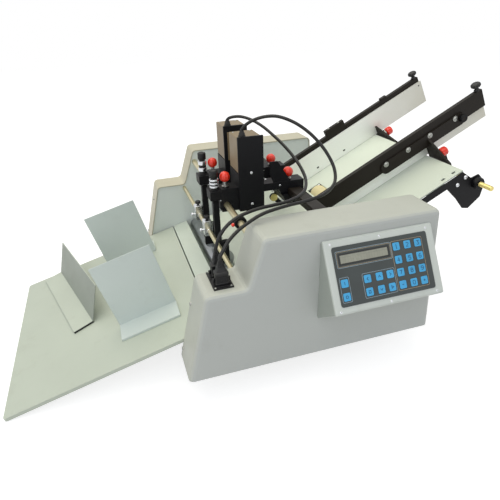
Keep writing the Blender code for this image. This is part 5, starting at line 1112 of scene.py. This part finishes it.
def feed_details():
    """Feed wheel and its collars, what lies under the table's slots, and the gate's feeler and screws."""
    low, high, middle = box_of("feed_wheel")
    length = (high.y - low.y) / MM
    grooves = 17
    tyre = [(0, 6.4), (0, 18.5), (1.2, 19.7)]
    for i in range(grooves):
        here = 3 + (length - 6) * i / (grooves - 1)
        tyre += [(here - 0.5, 20), (here, 19.5), (here + 0.5, 20)]
    tyre += [(length - 1.2, 19.7), (length, 18.5), (length, 6.4)]
    base, name = (middle.x, low.y, middle.z), "feed_wheel_tyre"
    turned(name, tyre, base, BACK, "tyre", "feed_roller", 96, stands_for="feed_wheel")
    shape = bmesh.new()
    collar = [(0, 0), (0, 10), (0.4, 10.4), (2.6, 10.4), (3, 10), (3, 0)]
    for y in (low.y - 0.003, high.y):
        add_turned(shape, collar, (middle.x, y, middle.z), BACK, 36)
    piece("feed_wheel_collars", shape, "steel", "feed_roller")

    y, half = middle.y - STAND.y, (high.y - low.y) / 2
    front, rear = y - half, y + half
    outer = rounded(WHEEL_ALONG - 0.026, WHEEL_ALONG + 0.02, front - 0.015, rear + 0.015, 0.001)
    inner = rounded(WHEEL_ALONG - 0.0195, WHEEL_ALONG + 0.0195, front - 0.0012, rear + 0.0012, 0.001)
    shape = bmesh.new()
    add_frame(shape, outer, inner, on_table, -WELL_DEPTH - 0.001, -WELL_DEPTH, 0.0003)
    piece("wheel_well", shape, "black")
    shape = bmesh.new()
    front, rear = TABLE_SLOT_Y - 0.004, TABLE_SLOT_Y + 0.004
    for along in TABLE_SLOTS:
        outline = rounded(along - 0.005, along + 0.005, front, rear, 0.001, 3)
        add_plate(shape, outline, on_table, -PLUG_DEPTH - 0.0008, -PLUG_DEPTH)
    piece("table_slot_plugs", shape, "plastic")

    disc = [(0, 0), (0, 7.8), (0.4, 8.2), (1, 8.2), (1.4, 5), (2, 0)]
    turned("feeler_disc", disc, at(*FEELER), FRONT, "brass", "feed_gate", 40)
    low, high, middle = box_of("feed_gate")
    spots = []
    for y in (low.y + 0.008, high.y - 0.014):
        spots.append(((high.x, y, high.z - 0.01), RIGHT, 2.6, 20))
        spots.append(((low.x + 0.002, y, high.z - 0.013), LEFT, 2.6, 20))
    screws("feed_gate_screws", spots, body="feed_gate")


# Plugs, inlet and tray


def plugs():
    """The leads' plugs with their ribbed boots, and the rims and screws of the sockets under them."""
    for side, _ in PLUG_SIDES:
        node = f"{side}_plug"
        low, high, middle = box_of(node)
        half_x, half_y = (high.x - low.x) / 2, (high.y - low.y) / 2
        rings = []

        def ring(z, wide, deep, radius):
            outline = rounded(middle.x - wide, middle.x + wide, middle.y - deep, middle.y + deep, radius)
            rings.append([Vector((a, b, z)) for a, b in outline])

        shell = mm((0, 0, 0, 2.2), (3.6, 0, 0, 2.2), (4.2, 0.8, 0.6, 2.2), (16, 1, 0.8, 2.2))
        shell += mm((17.2, 0.4, 0.3, 2.2), (21.2, 0.4, 0.3, 2.2), (23, 2.2, 1.8, 1.8))
        for lift, less_x, less_y, radius in shell:
            ring(low.z + lift, half_x - less_x, half_y - less_y, radius)
        for lift, wide, deep in mm((23.2, 7.8, 6.4), (29.2, 7, 6), (30, 6.4, 5.6)):
            ring(low.z + lift, wide, deep, 0.0026)
        boot, ribs = low.z + 0.03, 5
        step = (high.z - boot) / ribs
        for i in range(ribs):
            wide = 0.0062 - 0.0005 * i
            ring(boot + step * i + 0.0002, wide, wide * 0.92, wide * 0.5)
            for share, less, corner in ((0.6, 0.0002, 0.5), (0.64, 0.0009, 0.4), (0.96, 0.0009, 0.4)):
                ring(boot + step * (i + share), wide - less, (wide - less) * 0.92, wide * corner)
        shape = bmesh.new()
        add_rings(shape, rings)
        piece(f"{node}_shell", shape, "plastic", smooth_deg=30, stands_for=node)
        shape = bmesh.new()
        for way in (-1, 1):
            edge = middle.y + way * (half_y - 0.0008)
            for i in range(4):
                z = low.z + 0.0062 + i * 0.0026
                outline = rounded(middle.x - 0.0065, middle.x + 0.0065, z, z + 0.0011, 0.0005, 2)
                add_plate(shape, outline, lambda a, b, out: (a, edge + out * way, b), -0.0004, 0.0005, 0.0002)
        screw = [(0, 0), (0, 2.2), (6, 2.2), (6.6, 1.6), (6.6, 0)]
        for way in (-1, 1):
            base = (middle.x + way * (half_x + 0.0012), middle.y, low.z + 0.0042)
            add_turned(shape, screw, base, UP, 20)
        piece(f"{node}_grips", shape, "plastic")
    low, high, middle = box_of("socket_plate")
    shape = bmesh.new()
    x = middle.x
    for _, y in PLUG_SIDES:
        y += STAND.y
        outer = rounded(x - 0.015, x + 0.015, y - 0.012, y + 0.012, 0.002)
        inner = rounded(x - 0.0126, x + 0.0126, y - 0.0096, y + 0.0096, 0.002)
        add_frame(shape, outer, inner, lambda a, b, out: (a, b, high.z + out), -0.0004, 0.001, 0.0003)
    piece("socket_rims", shape, "plastic")
    spots = []
    for x in (low.x + 0.0035, high.x - 0.0035):
        for y, turn in ((low.y + 0.0035, 20), (high.y - 0.0035, 60)):
            spots.append(((x, y, high.z), UP, 1.8, turn))
    screws("socket_screws", spots, "dull")


def inlet_details():
    """Pins of the mains inlet, and the marks on the rocker."""
    low, high, middle = box_of("power_inlet")
    y = middle.y
    shape = bmesh.new()
    for across, up in mm((-7, 14), (7, 14), (0, 17.5)):
        y_pin, z_pin = y + across, low.z + up
        outline = rounded(y_pin - 0.001, y_pin + 0.001, z_pin - 0.0022, z_pin + 0.0022, 0.0004, 2)
        add_plate(shape, outline, lambda a, b, out: (high.x - 0.006 + out, a, b), -0.0006, 0.0034, 0.0004)
    piece("inlet_pins", shape, "brass")
    shape = bmesh.new()
    _, high, middle = box_of("rocker_switch")
    face = high.x - 0.001
    for name, lift in (("on", 0.0052), ("off", -0.0052)):
        for line in SIGNS[name]:
            scaled = [(y + (a - 2) * 0.0007, middle.z + lift + (b - 3) * 0.0006) for a, b in line]
            add_stroke(shape, scaled, 0.0005, lambda a, b, out: (face + out, a, b), -0.0004, 0.0002)
    piece("rocker_marks", shape, "pale_line", "rocker_switch", "black_plastic")


def tray_details():
    """The black ends of the magnet under the end stop's foot."""

    def place(out, height, side):
        along = STOP_ALONG + out * math.cos(STOP_TURN) - side * math.sin(STOP_TURN)
        return on_tray(along, STOP_Y + out * math.sin(STOP_TURN) + side * math.cos(STOP_TURN), height)

    outline = rounded(-STOP_FOOT, -0.0006, 0.0006, STOP_MAGNET, 0.0008, 3)
    for name, way in (("near", -1), ("far", 1)):
        shape = bmesh.new()
        add_plate(shape, outline, lambda a, b, out: place(a, b, (STOP_HALF + out) * way), -0.0004, 0.0006, 0.0003)
        piece(f"end_stop_{name}_magnet", shape, "rubber", "end_stop")


place_camera()
head_leads()
set_stage()
dress_nodes()
panel_film()
panel_keys()
panel_lines()
panel_display()
cover_screws()
red_knobs()
depth_screws()
rod_clamps()
head_details()
guide_details()
end_knobs()
screw_rod()
feed_details()
plugs()
inlet_details()
tray_details()
bpy.context.scene.view_settings.view_transform = "Standard"
bpy.context.view_layer.update()
